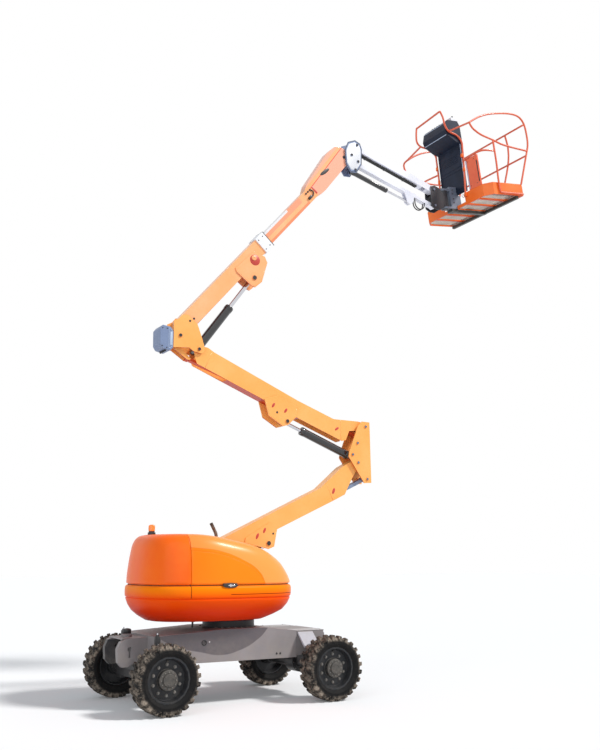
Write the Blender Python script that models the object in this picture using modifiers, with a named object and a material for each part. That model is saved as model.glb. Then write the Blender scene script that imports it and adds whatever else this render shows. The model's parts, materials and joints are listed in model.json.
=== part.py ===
"""Articulating boom lift. Metres, +Z up, ground at z = 0. The booms lie in the plane y = 0 and reach toward +X."""

import math

import bmesh
import bpy
from mathutils import Matrix, Vector

for thing in list(bpy.data.objects):
    bpy.data.objects.remove(thing, do_unlink=True)

scene = bpy.context.scene
LIFT = bpy.data.collections.new("articulating_boom_lift")
SHAPERS = bpy.data.collections.new("shapers")
for group in (LIFT, SHAPERS):
    scene.collection.children.link(group)

# Paints: red, green, blue, metallic, roughness

PAINTS = {
    "orange_paint": (1.00, 0.16, 0.013, 0.0, 0.42),
    "rail_paint": (0.68, 0.08, 0.03, 0.0, 0.45),
    "grey_paint": (0.22, 0.20, 0.205, 0.0, 0.55),
    "white_paint": (0.80, 0.80, 0.84, 0.0, 0.45),
    "box_paint": (0.19, 0.26, 0.43, 0.0, 0.5),
    "navy_plastic": (0.017, 0.026, 0.053, 0.0, 0.5),
    "amber_lens": (1.0, 0.27, 0.01, 0.0, 0.25),
    "black_steel": (0.02, 0.02, 0.022, 0.3, 0.5),
    "dark_rim": (0.03, 0.033, 0.04, 0.2, 0.5),
    "tyre_rubber": (0.03, 0.027, 0.025, 0.0, 0.85),
    "bright_rod": (0.62, 0.62, 0.65, 1.0, 0.2),
    "rusty_pipe": (0.16, 0.09, 0.06, 0.6, 0.7),
    "galvanised": (0.42, 0.41, 0.40, 0.7, 0.5),
}


def paint(name):
    red, green, blue, metallic, roughness = PAINTS[name]
    material = bpy.data.materials.get(name) or bpy.data.materials.new(name)
    material.use_nodes = True
    shader = material.node_tree.nodes["Principled BSDF"]
    shader.inputs["Base Color"].default_value = (red, green, blue, 1.0)
    shader.inputs["Metallic"].default_value = metallic
    shader.inputs["Roughness"].default_value = roughness
    return material


# Shared sizes

WELD = 0.00001
GAP = 0.0003
BITE = 0.004
FINE_SIDES = 16
SIDES = 12
PIN_SIDES = 8
UPRIGHT = Matrix.Rotation(math.pi / 2, 4, "X")


# Shapers: each makes one plain piece that a node is fused from or cut by


def shaper(mesh):
    welded = bmesh.new()
    welded.from_mesh(mesh)
    bmesh.ops.remove_doubles(welded, verts=welded.verts, dist=WELD)
    bmesh.ops.recalc_face_normals(welded, faces=welded.faces)
    welded.to_mesh(mesh)
    welded.free()
    piece = bpy.data.objects.new("shaper", mesh)
    SHAPERS.objects.link(piece)
    piece.hide_render = True
    piece.display_type = "WIRE"
    return piece


def drawn(thing):
    maker = bpy.data.objects.new("maker", thing)
    scene.collection.objects.link(maker)
    return maker


def solid_from(maker, turn):
    bpy.context.view_layer.update()
    graph = bpy.context.evaluated_depsgraph_get()
    mesh = bpy.data.meshes.new_from_object(maker.evaluated_get(graph))
    bpy.data.objects.remove(maker, do_unlink=True)
    mesh.materials.clear()
    mesh.transform(turn)
    return shaper(mesh)


def flat_curve(outlines, thickness):
    """A flat outline with any holes in it, drawn out to the thickness."""
    curve = bpy.data.curves.new("outline", "CURVE")
    curve.dimensions = "2D"
    curve.fill_mode = "BOTH"
    curve.extrude = thickness / 2
    for points in outlines:
        spline = curve.splines.new("POLY")
        spline.points.add(len(points) - 1)
        for knot, (along, across) in zip(spline.points, points):
            knot.co = (along, across, 0.0, 1.0)
        spline.use_cyclic_u = True
    return curve


def circle(radius, sides):
    turns = [2 * math.pi * side / sides for side in range(sides)]
    return [(radius * math.cos(turn), radius * math.sin(turn)) for turn in turns]


def plate(points, side_0, side_1, place=Matrix.Identity(4)):
    """A plate with the outline (x, z), from y = side_0 to y = side_1."""
    middle = Matrix.Translation((0.0, (side_0 + side_1) / 2, 0.0))
    curve = flat_curve([points], side_1 - side_0)
    return solid_from(drawn(curve), place @ middle @ UPRIGHT)


def slab(points, low, high, place=Matrix.Identity(4), holes=()):
    """A slab with the plan outline (x, y), from z = low to z = high."""
    middle = Matrix.Translation((0.0, 0.0, (low + high) / 2))
    return solid_from(drawn(flat_curve([points, *holes], high - low)), place @ middle)


def box(x_0, x_1, y_0, y_1, z_0, z_1, place=Matrix.Identity(4)):
    return slab([(x_0, y_0), (x_1, y_0), (x_1, y_1), (x_0, y_1)], z_0, z_1, place)


def bar(points, radius, place=Matrix.Identity(4)):
    """A round bar along the points."""
    curve = bpy.data.curves.new("bar", "CURVE")
    curve.dimensions = "3D"
    curve.bevel_depth = radius
    curve.bevel_resolution = 2
    curve.use_fill_caps = True
    spline = curve.splines.new("POLY")
    spline.points.add(len(points) - 1)
    for knot, spot in zip(spline.points, points):
        knot.co = (*spot, 1.0)
    return solid_from(drawn(curve), place)


def disc(centre, radius, half, axis="Y", sides=SIDES, place=Matrix.Identity(4)):
    """A round boss about the centre, reaching half its length to each side."""
    turns = {"X": (math.pi / 2, "Y"), "Y": (math.pi / 2, "X"), "Z": (0.0, "Z")}
    angle, about = turns[axis]
    mesh = bpy.data.meshes.new("disc")
    cone = bmesh.new()
    bmesh.ops.create_cone(
        cone, cap_ends=True, segments=sides, radius1=radius, radius2=radius, depth=2 * half
    )
    cone.to_mesh(mesh)
    cone.free()
    mesh.transform(place @ Matrix.Translation(centre) @ Matrix.Rotation(angle, 4, about))
    return shaper(mesh)


def turned(profile, steps, place):
    """A round solid: the profile (radius, height) turned about its own Z."""
    mesh = bpy.data.meshes.new("profile")
    links = [(at, at + 1) for at in range(len(profile) - 1)]
    if profile[0][0] > WELD:
        links.append((len(profile) - 1, 0))
    mesh.from_pydata([(radius, 0.0, height) for radius, height in profile], links, [])
    maker = drawn(mesh)
    screw = maker.modifiers.new("turn", "SCREW")
    screw.steps = screw.render_steps = steps
    screw.use_merge_vertices = True
    screw.merge_threshold = WELD
    screw.use_smooth_shade = False
    return solid_from(maker, place)


def node(name, colour, base, steps=(), pivot=(0.0, 0.0, 0.0)):
    """One named solid. Steps are pairs: + fuses a shaper on, - cuts it away."""
    SHAPERS.objects.unlink(base)
    LIFT.objects.link(base)
    base.name = name
    base.hide_render = False
    base.display_type = "TEXTURED"
    for sign, tool in steps:
        step = base.modifiers.new("fuse" if sign == "+" else "cut", "BOOLEAN")
        step.operation = "UNION" if sign == "+" else "DIFFERENCE"
        step.solver = "EXACT"
        step.object = tool
    base.data.transform(Matrix.Translation(-Vector(pivot)))
    base.location = pivot
    base.data.materials.append(paint(colour))
    return base


def both_sides(inner, outer):
    return ((-outer, -inner), (inner, outer))


def xz(spot):
    return (spot[0], 0.0, spot[1])


class Boom:
    """Places on an arm: s runs from its lower pin to its upper pin, d drops square below that line."""

    def __init__(self, lower, upper):
        self.lower = Vector(lower)
        self.way = (Vector(upper) - self.lower).normalized()
        square = Vector((self.way.y, -self.way.x))
        self.drop = square if square.y < 0 else -square

    def spot(self, s, d):
        return tuple(self.lower + self.way * s + self.drop * d)

    def outline(self, points):
        return [self.spot(s, d) for s, d in points]


# Pins, as (x, z) in the plane of the booms

ARM_1_SLOPE = math.radians(25.0)
ARM_1_LONG = 3.25
ARM_1_FOOT = (-0.535, 2.237)
ARM_1_TOP = (
    ARM_1_FOOT[0] + ARM_1_LONG * math.cos(ARM_1_SLOPE),
    ARM_1_FOOT[1] + ARM_1_LONG * math.sin(ARM_1_SLOPE),
)
TIE_1_OFFSET = (0.18, -0.27)
TIE_1_FOOT = (ARM_1_FOOT[0] + TIE_1_OFFSET[0], ARM_1_FOOT[1] + TIE_1_OFFSET[1])
TIE_1_TOP = (ARM_1_TOP[0] + TIE_1_OFFSET[0], ARM_1_TOP[1] + TIE_1_OFFSET[1])
ARM_2_FOOT = (2.57, 4.23)
ARM_2_TOP = (-0.55, 5.21)
TIE_1_HALF = 0.06
TIE_2_HALF = 0.05
EYE_OVER = 0.002
TIE_2_OFFSET = (-0.13, -0.15)
TIE_2_FOOT = (ARM_2_FOOT[0] + TIE_2_OFFSET[0], ARM_2_FOOT[1] + TIE_2_OFFSET[1])
TIE_2_TOP = (ARM_2_TOP[0] + TIE_2_OFFSET[0], ARM_2_TOP[1] + TIE_2_OFFSET[1])
BOOM_FOOT = (-0.87, 5.39)
LEVEL_PIN = (2.38, 9.20)
JIB_FOOT = (2.50, 9.42)
JIB_TOP = (4.30, 8.97)
LINK_FOOT = (2.52, 9.10)
LINK_TOP = (JIB_TOP[0] + 0.02, JIB_TOP[1] - 0.32)
CYLINDERS = {
    "arm_1": ((-0.45, 1.30), (0.72, 2.26), 0.072, 0.036, 0.90),
    "arm_2": ((2.30, 3.74), (1.05, 4.21), 0.072, 0.030, 0.99),
    "boom": ((-0.55, 5.21), (0.42, 6.54), 0.075, 0.036, 0.98),
    "jib": ((2.46, 8.926), (3.75, 8.62), 0.046, 0.022, 0.80),
}

# Wheels: like pieces from one table of side, x and whether they steer

AXLE_HALF = 1.30
HUB_HIGH = 0.46
WHEEL_SIDE = 0.98
TREAD_RADIUS = 0.46
CARCASS_RADIUS = 0.436
LUGS = 24
LUG_SHARE = 0.47
LUG_TAPER_SHARE = 0.80
LUG_ROOT = 0.402
LUG_LEAN = math.radians(5.0)
LUG_END = 0.160
BORE_RADIUS = 0.285
RIM_STEPS = 18
RIM_BACK = -0.045
HUB_END = WHEEL_SIDE + RIM_BACK - GAP
SIDEWALL = [(0.350, 0.166), (0.308, 0.120), (BORE_RADIUS, 0.120)]
RIM_PROFILE = [
    (0.0, RIM_BACK), (0.115, RIM_BACK), (0.130, 0.018), (0.255, 0.018), (0.266, -0.120),
    (BORE_RADIUS - 0.004, -0.120), (BORE_RADIUS - 0.004, 0.120 + GAP), (0.302, 0.120 + GAP),
    (0.302, 0.135), (0.276, 0.135), (0.256, 0.045), (0.140, 0.045),
    (0.128, 0.118), (0.086, 0.124), (0.080, 0.146), (0.0, 0.146),
]
WHEELS = [
    ("front_near", -AXLE_HALF, -1),
    ("front_far", -AXLE_HALF, 1),
    ("rear_near", AXLE_HALF, -1),
    ("rear_far", AXLE_HALF, 1),
]


def tyre(place):
    """A lugged tyre: the lugs of one side stand between those of the other, leant like the real ones."""
    mesh = bpy.data.meshes.new("tyre")
    body = bmesh.new()
    pitch = math.pi / LUGS

    def knot(radius, angle, high):
        return body.verts.new((radius * math.cos(angle), radius * math.sin(angle), high))

    middle = [
        knot(CARCASS_RADIUS, (lug + share) * pitch, 0.0)
        for lug in range(2 * LUGS)
        for share in (0.0, 2 * LUG_SHARE)
    ]
    inset = pitch * LUG_SHARE * (1 - LUG_TAPER_SHARE)
    bores = []
    for side in (-1, 1):
        lean = side * LUG_LEAN
        lugs = range((1 - side) // 2, 2 * LUGS, 2)
        ends, walls = [], []
        for lug in lugs:
            start, stop = lug * pitch, (lug + 2 * LUG_SHARE) * pitch
            foot_0, foot_1 = middle[2 * lug], middle[2 * lug + 1]
            crown_0 = knot(TREAD_RADIUS, start + inset, 0.0)
            crown_1 = knot(TREAD_RADIUS, stop - inset, 0.0)
            end_0 = knot(LUG_ROOT, start + lean, side * LUG_END)
            top_0 = knot(TREAD_RADIUS, start + inset + lean, side * LUG_END)
            top_1 = knot(TREAD_RADIUS, stop - inset + lean, side * LUG_END)
            end_1 = knot(LUG_ROOT, stop + lean, side * LUG_END)
            body.faces.new((foot_0, crown_0, crown_1, foot_1))
            body.faces.new((crown_0, top_0, top_1, crown_1))
            body.faces.new((foot_0, end_0, top_0, crown_0))
            body.faces.new((foot_1, crown_1, top_1, end_1))
            ends.append((end_0, top_0, top_1, end_1))
            middles = (start + stop) / 2 + lean
            walls.append([knot(radius, middles, side * high) for radius, high in SIDEWALL])
        for at, lug in enumerate(lugs):
            after = (at + 1) % LUGS
            valley = [middle[(2 * lug + step) % len(middle)] for step in (1, 2, 3, 4)]
            body.faces.new((*valley, ends[after][0], ends[at][3]))
            body.faces.new((walls[at][0], *ends[at]))
            body.faces.new((walls[at][0], ends[at][3], ends[after][0], walls[after][0]))
            for step in range(len(SIDEWALL) - 1):
                body.faces.new((walls[at][step], walls[after][step], walls[after][step + 1],
                                walls[at][step + 1]))
        bores.append([wall[-1] for wall in walls])
    for at in range(LUGS):
        after = (at + 1) % LUGS
        body.faces.new((bores[0][at], bores[0][after], bores[1][after], bores[1][at]))
    body.to_mesh(mesh)
    body.free()
    mesh.transform(place)
    return shaper(mesh)


def wheels():
    for name, x, side in WHEELS:
        centre = (x, side * WHEEL_SIDE, HUB_HIGH)
        outward = Matrix.Rotation(-side * math.pi / 2, 4, "X")
        place = Matrix.Translation(centre) @ outward
        node("tyre_" + name, "tyre_rubber", tyre(place), (), centre)
        node("rim_" + name, "dark_rim", turned(RIM_PROFILE, RIM_STEPS, place), (), centre)


# Chassis, axles and steering

CHASSIS_HALF = 0.60
CHASSIS_SIDE = [
    (-1.30, 0.72), (-1.08, 0.592), (0.94, 0.592), (0.94, 0.972), (0.40, 1.035),
    (-0.30, 1.032), (-1.30, 0.972),
]
TAIL_SIDE = [(0.90, 0.62), (1.50, 0.62), (1.58, 0.72), (1.58, 0.90), (1.50, 0.965), (0.90, 0.972)]
TAIL_HALF = 0.36
NOSE_SIDE = [
    (-1.20, 0.60), (-1.52, 0.60), (-1.58, 0.565), (-1.66, 0.565), (-1.72, 0.63),
    (-1.735, 0.80), (-1.69, 0.90), (-1.60, 0.935), (-1.20, 0.955),
]
NOSE_INNER = 0.22
NOSE_OUTER = 0.31
KEYHOLE = (-1.56, 0.80)
LASHING_HOLE = (-0.57, 0.862)
FENDER_SIDE = [(0.93, 0.66), (1.30, 0.66), (1.42, 0.80), (1.44, 0.955), (0.93, 0.972)]
FENDER_OUTER = 0.62
KINGPIN_SIDE = 0.72
KNUCKLE_RADIUS = 0.066
STEER_ARM = 0.13
FORK_HALF = 0.085
STEER_ARM_LOW = 0.430


def chassis():
    tools = [("+", plate(TAIL_SIDE, -TAIL_HALF, TAIL_HALF))]
    for low, high in both_sides(NOSE_INNER, NOSE_OUTER):
        tools.append(("+", plate(NOSE_SIDE, low, high)))
        tools.append(("-", disc((KEYHOLE[0], (low + high) / 2, KEYHOLE[1]), 0.032, 0.1)))
        tools.append(("-", box(KEYHOLE[0] - 0.014, KEYHOLE[0] + 0.014, low - 0.1, high + 0.1,
                               KEYHOLE[1] - 0.11, KEYHOLE[1])))
    tools.append(("+", box(-1.66, -1.28, -0.26, 0.26, 0.925, 0.945)))
    tools.append(("+", disc((-1.50, 0.0, 0.93), 0.075, 0.05, "Z")))
    for side in (-1, 1):
        shelf = [(0.92, 0.62), (0.95, 0.965), (1.42, 0.965), (1.42, 0.94), (1.30, 0.62)]
        low, high = sorted((side * 0.30, side * 0.592))
        tools.append(("+", plate(shelf, low, high)))
        wing = [
            (side * 0.58, 0.970), (side * 0.58, 0.940), (side * 0.790, 0.735),
            (side * 0.805, 0.765),
        ]
        turn = Matrix.Rotation(math.pi / 2, 4, "Z")
        tools.append(("+", plate(wing, -1.22, -0.96, turn)))
        hole = (LASHING_HOLE[0], side * CHASSIS_HALF, LASHING_HOLE[1])
        tools.append(("-", disc(hole, 0.028, 0.03)))
    node("chassis_frame", "grey_paint", plate(CHASSIS_SIDE, -CHASSIS_HALF, CHASSIS_HALF), tools)


def axles():
    beam = box(-1.40, -1.20, -0.63, 0.63, 0.38, 0.54)
    tools = [("+", box(-1.45, -1.26, GAP - NOSE_INNER, NOSE_INNER - GAP, 0.50, 0.655))]
    for side in (-1, 1):
        for low, high in ((0.325, HUB_HIGH - FORK_HALF), (HUB_HIGH + FORK_HALF, 0.595)):
            near, far = sorted((side * 0.55, side * KINGPIN_SIDE))
            tools.append(("+", box(-1.365, -1.235, near, far, low, high)))
            tools.append(("+", disc((-AXLE_HALF, side * KINGPIN_SIDE, (low + high) / 2),
                                    KNUCKLE_RADIUS, (high - low) / 2, "Z")))
        post = box(-1.36, -1.24, *sorted((side * 0.54, side * 0.63)), 0.33, 0.59)
        tools.append(("+", post))
    tools.append(("+", bar([(-1.17, -0.26, 0.475), (-1.17, 0.26, 0.475)], 0.045)))
    tools.append(("+", box(-1.21, -1.15, -0.10, 0.10, 0.425, 0.50)))
    node("front_axle", "black_steel", beam, tools)

    casing = bar([(AXLE_HALF, -0.84, HUB_HIGH), (AXLE_HALF, 0.84, HUB_HIGH)], 0.085)
    tools = [
        ("+", box(1.20, 1.40, -0.42, 0.42, 0.44, 0.62 - GAP)),
        ("+", disc((AXLE_HALF, 0.0, HUB_HIGH), 0.15, 0.12, "Y", FINE_SIDES)),
    ]
    for side in (-1, 1):
        tools.append(("+", disc((AXLE_HALF, side * (HUB_END - 0.09), HUB_HIGH), 0.11, 0.09, "Y",
                                FINE_SIDES)))
    node("rear_axle", "black_steel", casing, tools)


def steering():
    for name, side in (("near", -1), ("far", 1)):
        pin = (-AXLE_HALF, side * KINGPIN_SIDE, HUB_HIGH)
        block = disc(pin, 0.062, FORK_HALF - GAP, "Z", SIDES)
        tools = [
            ("+", bar([pin, (-AXLE_HALF, side * HUB_END, HUB_HIGH)], 0.062)),
            ("+", disc((-AXLE_HALF, side * 0.885, HUB_HIGH), 0.10, 0.04, "Y", FINE_SIDES)),
            ("+", box(-AXLE_HALF, -AXLE_HALF + STEER_ARM, *sorted((side * 0.695, side * 0.745)),
                      STEER_ARM_LOW, 0.465)),
            ("+", disc((-AXLE_HALF + STEER_ARM, side * KINGPIN_SIDE, 0.4475), 0.032, 0.0175, "Z")),
        ]
        node("steer_knuckle_" + name, "black_steel", block, tools, pin)
    x = -AXLE_HALF + STEER_ARM
    rod = bar([(x, -KINGPIN_SIDE, 0.398), (x, KINGPIN_SIDE, 0.398)], 0.016)
    tools = [("+", disc((x, side * KINGPIN_SIDE, STEER_ARM_LOW - GAP - 0.022), 0.028, 0.022, "Z")) for side in (-1, 1)]
    node("track_rod", "black_steel", rod, tools, (x, 0.0, 0.398))


# Turret: the hoods are one faired body, drawn as rings that follow the falling top line

SLEW_X = 0.10
TURRET_X = -0.235
RING_POINTS = 32
RING_POWER = 0.72
BELT_LOW = 1.475
SPLIT_HIGH = 1.660
TOP_LINE = [
    (-1.45, 2.34), (-1.15, 2.365), (-0.75, 2.365), (-0.50, 2.34), (-0.20, 2.285), (0.06, 2.235),
    (0.33, 2.15), (0.62, 2.01), (0.80, 1.87), (1.00, 1.75),
]
RINGS = [
    # height, share of the way up to the top line, left end, right end, half width
    (1.150, None, -1.17, 0.56, 0.60),
    (1.290, None, -1.36, 0.85, 0.86),
    (BELT_LOW, None, -1.430, 0.945, 0.975),
    (1.600, None, -1.440, 0.960, 0.985),
    (1.645, None, -1.415, 0.935, 0.960),
    (SPLIT_HIGH + 0.02, None, -1.425, 0.945, 0.970),
    (None, 0.45, -1.400, 0.915, 0.950),
    (None, 0.78, -1.365, 0.850, 0.900),
    (None, 0.94, -1.320, 0.780, 0.830),
    (None, 1.00, -1.240, 0.700, 0.730),
]
SEAM_X = -0.92
SEAM_GAP = 0.006
HOOD_INNER = 0.213
SLOT_HALF = 0.205
SLOT_BACK = -0.72
SLOT_FLOOR = 1.0
SHELL = 0.035
HOOD_HINGE = ((-0.60, 2.370), (0.62, 2.125))
MAST_INNER = 0.155
MAST_OUTER = 0.185
MAST_SIDE = [
    (-0.70, 1.156), (-0.70, 2.20), (-0.62, 2.315), (-0.45, 2.32), (-0.20, 2.18),
    (0.10, 1.55), (0.24, 1.156),
]


def top_high(x):
    for (x_0, z_0), (x_1, z_1) in zip(TOP_LINE, TOP_LINE[1:]):
        if x <= x_1:
            return z_0 + (z_1 - z_0) * (x - x_0) / (x_1 - x_0)
    return TOP_LINE[-1][1]


def faired_body(inset, low_ring, foot):
    """The closed body through the rings, drawn in by the inset."""
    mesh = bpy.data.meshes.new("body")
    body = bmesh.new()
    rows = []
    for high, share, left, right, half in RINGS[low_ring:]:
        row = []
        middle, reach = (left + right) / 2, (right - left) / 2 - inset
        for step in range(RING_POINTS):
            angle = 2 * math.pi * step / RING_POINTS
            cosine, sine = math.cos(angle), math.sin(angle)
            x = middle + reach * math.copysign(abs(cosine) ** RING_POWER, cosine)
            y = (half - inset) * math.copysign(abs(sine) ** RING_POWER, sine)
            base = SPLIT_HIGH + 0.02
            z = high if share is None else base + share * (top_high(x) - inset - base)
            row.append(body.verts.new((x, y, z)))
        rows.append(row)
    if foot is not None:
        rows.insert(0, [body.verts.new((v.co.x, v.co.y, foot)) for v in rows[0]])
    for lower, upper in zip(rows, rows[1:]):
        for at in range(RING_POINTS):
            after = (at + 1) % RING_POINTS
            body.faces.new((lower[at], lower[after], upper[after], upper[at]))
    body.faces.new(rows[0])
    half = RING_POINTS // 2
    for at in range(half - 1):
        quad = (at, at + 1, RING_POINTS - at - 1, (RING_POINTS - at) % RING_POINTS)
        corners = [rows[-1][corner] for corner in dict.fromkeys(quad)]
        body.faces.new(corners)
    body.faces.new([rows[-1][half - 1], rows[-1][half], rows[-1][half + 1]])
    body.to_mesh(mesh)
    body.free()
    return shaper(mesh)


def turret():
    slot = box(SLOT_BACK, 1.4, -SLOT_HALF, SLOT_HALF, SLOT_FLOOR, 2.6)
    shell_top = box(-2.0, 1.5, -1.3, 1.3, SPLIT_HIGH, 2.6)
    node("turret_bowl", "orange_paint", faired_body(0.0, 0, None), [("-", shell_top), ("-", slot)])

    side = box(SEAM_X, 1.5, -1.3, 1.3, SPLIT_HIGH - 0.2, 2.6)
    under = box(-2.0, 1.5, -1.3, 1.3, 1.0, SPLIT_HIGH + GAP)
    node("counterweight", "orange_paint", faired_body(0.0, 4, None), [("-", side), ("-", under)])

    for name, sign in (("near", -1), ("far", 1)):
        under = box(-2.0, 1.5, -1.3, 1.3, 1.0, SPLIT_HIGH + GAP)
        behind = box(-2.0, SEAM_X + SEAM_GAP, -1.3, 1.3, 1.0, 2.6)
        across = box(-2.0, 1.5, *sorted((sign * HOOD_INNER, -sign * 1.3)), 1.0, 2.6)
        inner = faired_body(SHELL, 3, 1.2)
        pivot = (HOOD_HINGE[0][0], sign * HOOD_INNER, HOOD_HINGE[0][1])
        tools = [("-", inner), ("-", under), ("-", behind), ("-", across)]
        node("hood_" + name, "orange_paint", faired_body(0.0, 3, None), tools, pivot)


def turret_inside():
    deck = disc((SLEW_X, 0.0, 1.1404), 0.36, 0.0093, "Z", 24)
    tools = [("+", box(-0.68, 0.40, -MAST_OUTER, MAST_OUTER, 1.1335, 1.165))]
    for low, high in both_sides(MAST_INNER, MAST_OUTER):
        tools.append(("+", plate(MAST_SIDE, low, high)))
        outside = low if low < 0 else high
        for spot, radius in ((ARM_1_FOOT, 0.05), (TIE_1_FOOT, 0.035)):
            tools.append(("+", disc((spot[0], outside, spot[1]), radius, 0.012)))
    barrel = CYLINDERS["arm_1"]
    tools += bosses([TIE_1_FOOT], TIE_1_HALF + GAP, MAST_INNER + BITE, 0.03)
    tools += bosses([barrel[0]], barrel[2] + EYE_OVER + GAP, MAST_INNER + BITE, 0.035)
    node("turret_frame", "black_steel", deck, tools, (SLEW_X, 0.0, 1.131))

    engine = box(-0.50, 0.28, -0.80, -0.34, SPLIT_HIGH + GAP, 2.02)
    node("engine_block", "black_steel", engine, [("+", box(-0.30, 0.20, -0.72, -0.48, 2.0, 2.09))])

    ring = disc((SLEW_X, 0.0, 1.0831), 0.39, 0.0476, "Z", 32)
    node("slew_ring", "black_steel", ring, (), (SLEW_X, 0.0, 1.08))

    foot = (-1.10, 0.19)
    base = disc((foot[0], foot[1], 2.3655 + 0.02), 0.058, 0.02, "Z", SIDES)
    stem = disc((foot[0], foot[1], 2.4 + 0.012), 0.045, 0.012, "Z", SIDES)
    node("beacon_base", "black_steel", base, [("+", stem)])
    lens = [(0.0, 0.0), (0.048, 0.0), (0.048, 0.075), (0.036, 0.095), (0.0, 0.098)]
    place = Matrix.Translation((foot[0], foot[1], 2.424 + GAP))
    node("beacon_lens", "amber_lens", turned(lens, SIDES, place))

    pipe = [(-0.200, 2.1953), (-0.205, 2.36), (-0.250, 2.45), (-0.300, 2.545)]
    side = -(MAST_INNER + MAST_OUTER) / 2
    node("exhaust_pipe", "rusty_pipe", bar([(x, side, z) for x, z in pipe], 0.025))


# Riser arms

ARM_HALF = 0.10
WALL = 0.009
BRACKET_OUT = 0.115
PIN_HEAD = 0.012
ARM_1_OUTLINE = [
    (-0.078, 0.0), (-0.052, -0.058), (0.02, -0.078), (0.09, -0.05), (0.36, 0.118),
    (2.40, 0.108), (2.957, -0.045), (3.19, -0.060), (3.27, -0.066), (3.325, -0.02),
    (3.31, 0.055), (3.22, 0.10), (3.05, 0.2026), (2.80, 0.388), (2.549, 0.3907),
    (1.36, 0.380), (0.42, 0.384), (0.36, 0.35), (0.30, 0.20), (0.03, 0.075),
]
ARM_1_HOLLOW = [(-0.10, 0.130), (3.5, 0.130), (3.5, 0.3725), (-0.10, 0.3725)]
ARM_1_BRACKET = [
    (0.32, 2.34), (0.30, 2.25), (0.64, 2.19), (0.72, 2.17), (0.82, 2.21), (0.87, 2.47),
    (0.74, 2.58),
]
ARM_2_OUTLINE = [
    (2.645, 4.225), (2.615, 4.29), (2.45, 4.318), (1.96, 4.32), (1.26, 4.57), (-0.27, 5.20),
    (-0.38, 5.262), (-0.52, 5.278), (-0.60, 5.255), (-0.622, 5.19), (-0.59, 5.06),
    (-0.56, 4.985), (1.23, 4.29), (2.12, 3.96), (2.20, 3.98), (2.27, 4.14), (2.54, 4.165),
]
ARM_2_HOLLOW = [
    (-0.30, 0.105), (0.9, 0.105), (2.05, 0.0), (2.2, -0.3), (3.6, -0.3), (3.6, 0.60),
    (2.65, 0.60), (2.65, 0.245), (1.25, 0.337), (1.25, 0.60), (-0.30, 0.60),
]
ARM_2_BRACKET = [
    (0.63, 4.54), (0.71, 4.27), (0.97, 4.12), (1.07, 4.15), (1.22, 4.29), (1.24, 4.47),
    (0.86, 4.62),
]
KNUCKLE_1_SIDE = [
    (2.42, 4.24), (2.50, 4.315), (2.655, 4.31), (2.675, 3.28), (2.53, 3.27), (2.22, 3.70),
    (2.235, 3.78),
]
KNUCKLE_1_INNER = 0.135
KNUCKLE_1_OUTER = 0.152
KNUCKLE_1_HEADS = [(2.57, 4.23), (2.40, 3.94), (2.30, 3.74), (2.41, 3.61), (2.59, 3.34)]
KNUCKLE_2_SIDE = [
    (-0.98, 5.61), (-0.90, 5.655), (-0.845, 5.725), (-0.75, 5.735), (-0.585, 5.60), (-0.515, 5.42), (-0.455, 5.24),
    (-0.465, 5.175), (-0.51, 5.145), (-0.64, 5.165), (-0.72, 5.215), (-0.98, 5.19),
]
KNUCKLE_2_INNER = 0.125
KNUCKLE_2_OUTER = 0.143
TIE_2_LUG = [(-0.983, 5.34), (-0.967, 5.34), (-0.70, 5.095), (-0.655, 5.06), (-0.67, 5.035), (-0.72, 5.04),
             (-0.983, 5.21)]
KNUCKLE_2_HEADS = [(-0.55, 5.21), (-0.87, 5.39)]
END_BOX_SIDE = [
    (-0.9853, 5.18), (-0.9853, 5.44), (-1.03, 5.50), (-1.16, 5.52), (-1.205, 5.46), (-1.20, 5.22),
    (-1.16, 5.16), (-1.03, 5.13),
]


def bosses(spots, side_0, side_1, radius):
    return [
        ("+", disc((x, sign * (side_0 + side_1) / 2, z), radius, (side_1 - side_0) / 2,
                   sides=PIN_SIDES))
        for x, z in spots
        for sign in (-1, 1)
    ]


def tie_bar(name, foot, top, half_deep, half_wide):
    run = Boom(foot, top)
    long = (Vector(top) - Vector(foot)).length
    ends = [(0.0, -half_deep), (long, -half_deep), (long, half_deep), (0.0, half_deep)]
    base = plate(run.outline(ends), -half_wide, half_wide)
    eyes = [("+", disc(xz(spot), half_deep + 0.014, half_wide)) for spot in (foot, top)]
    node(name, "box_paint", base, eyes, xz(foot))


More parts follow.
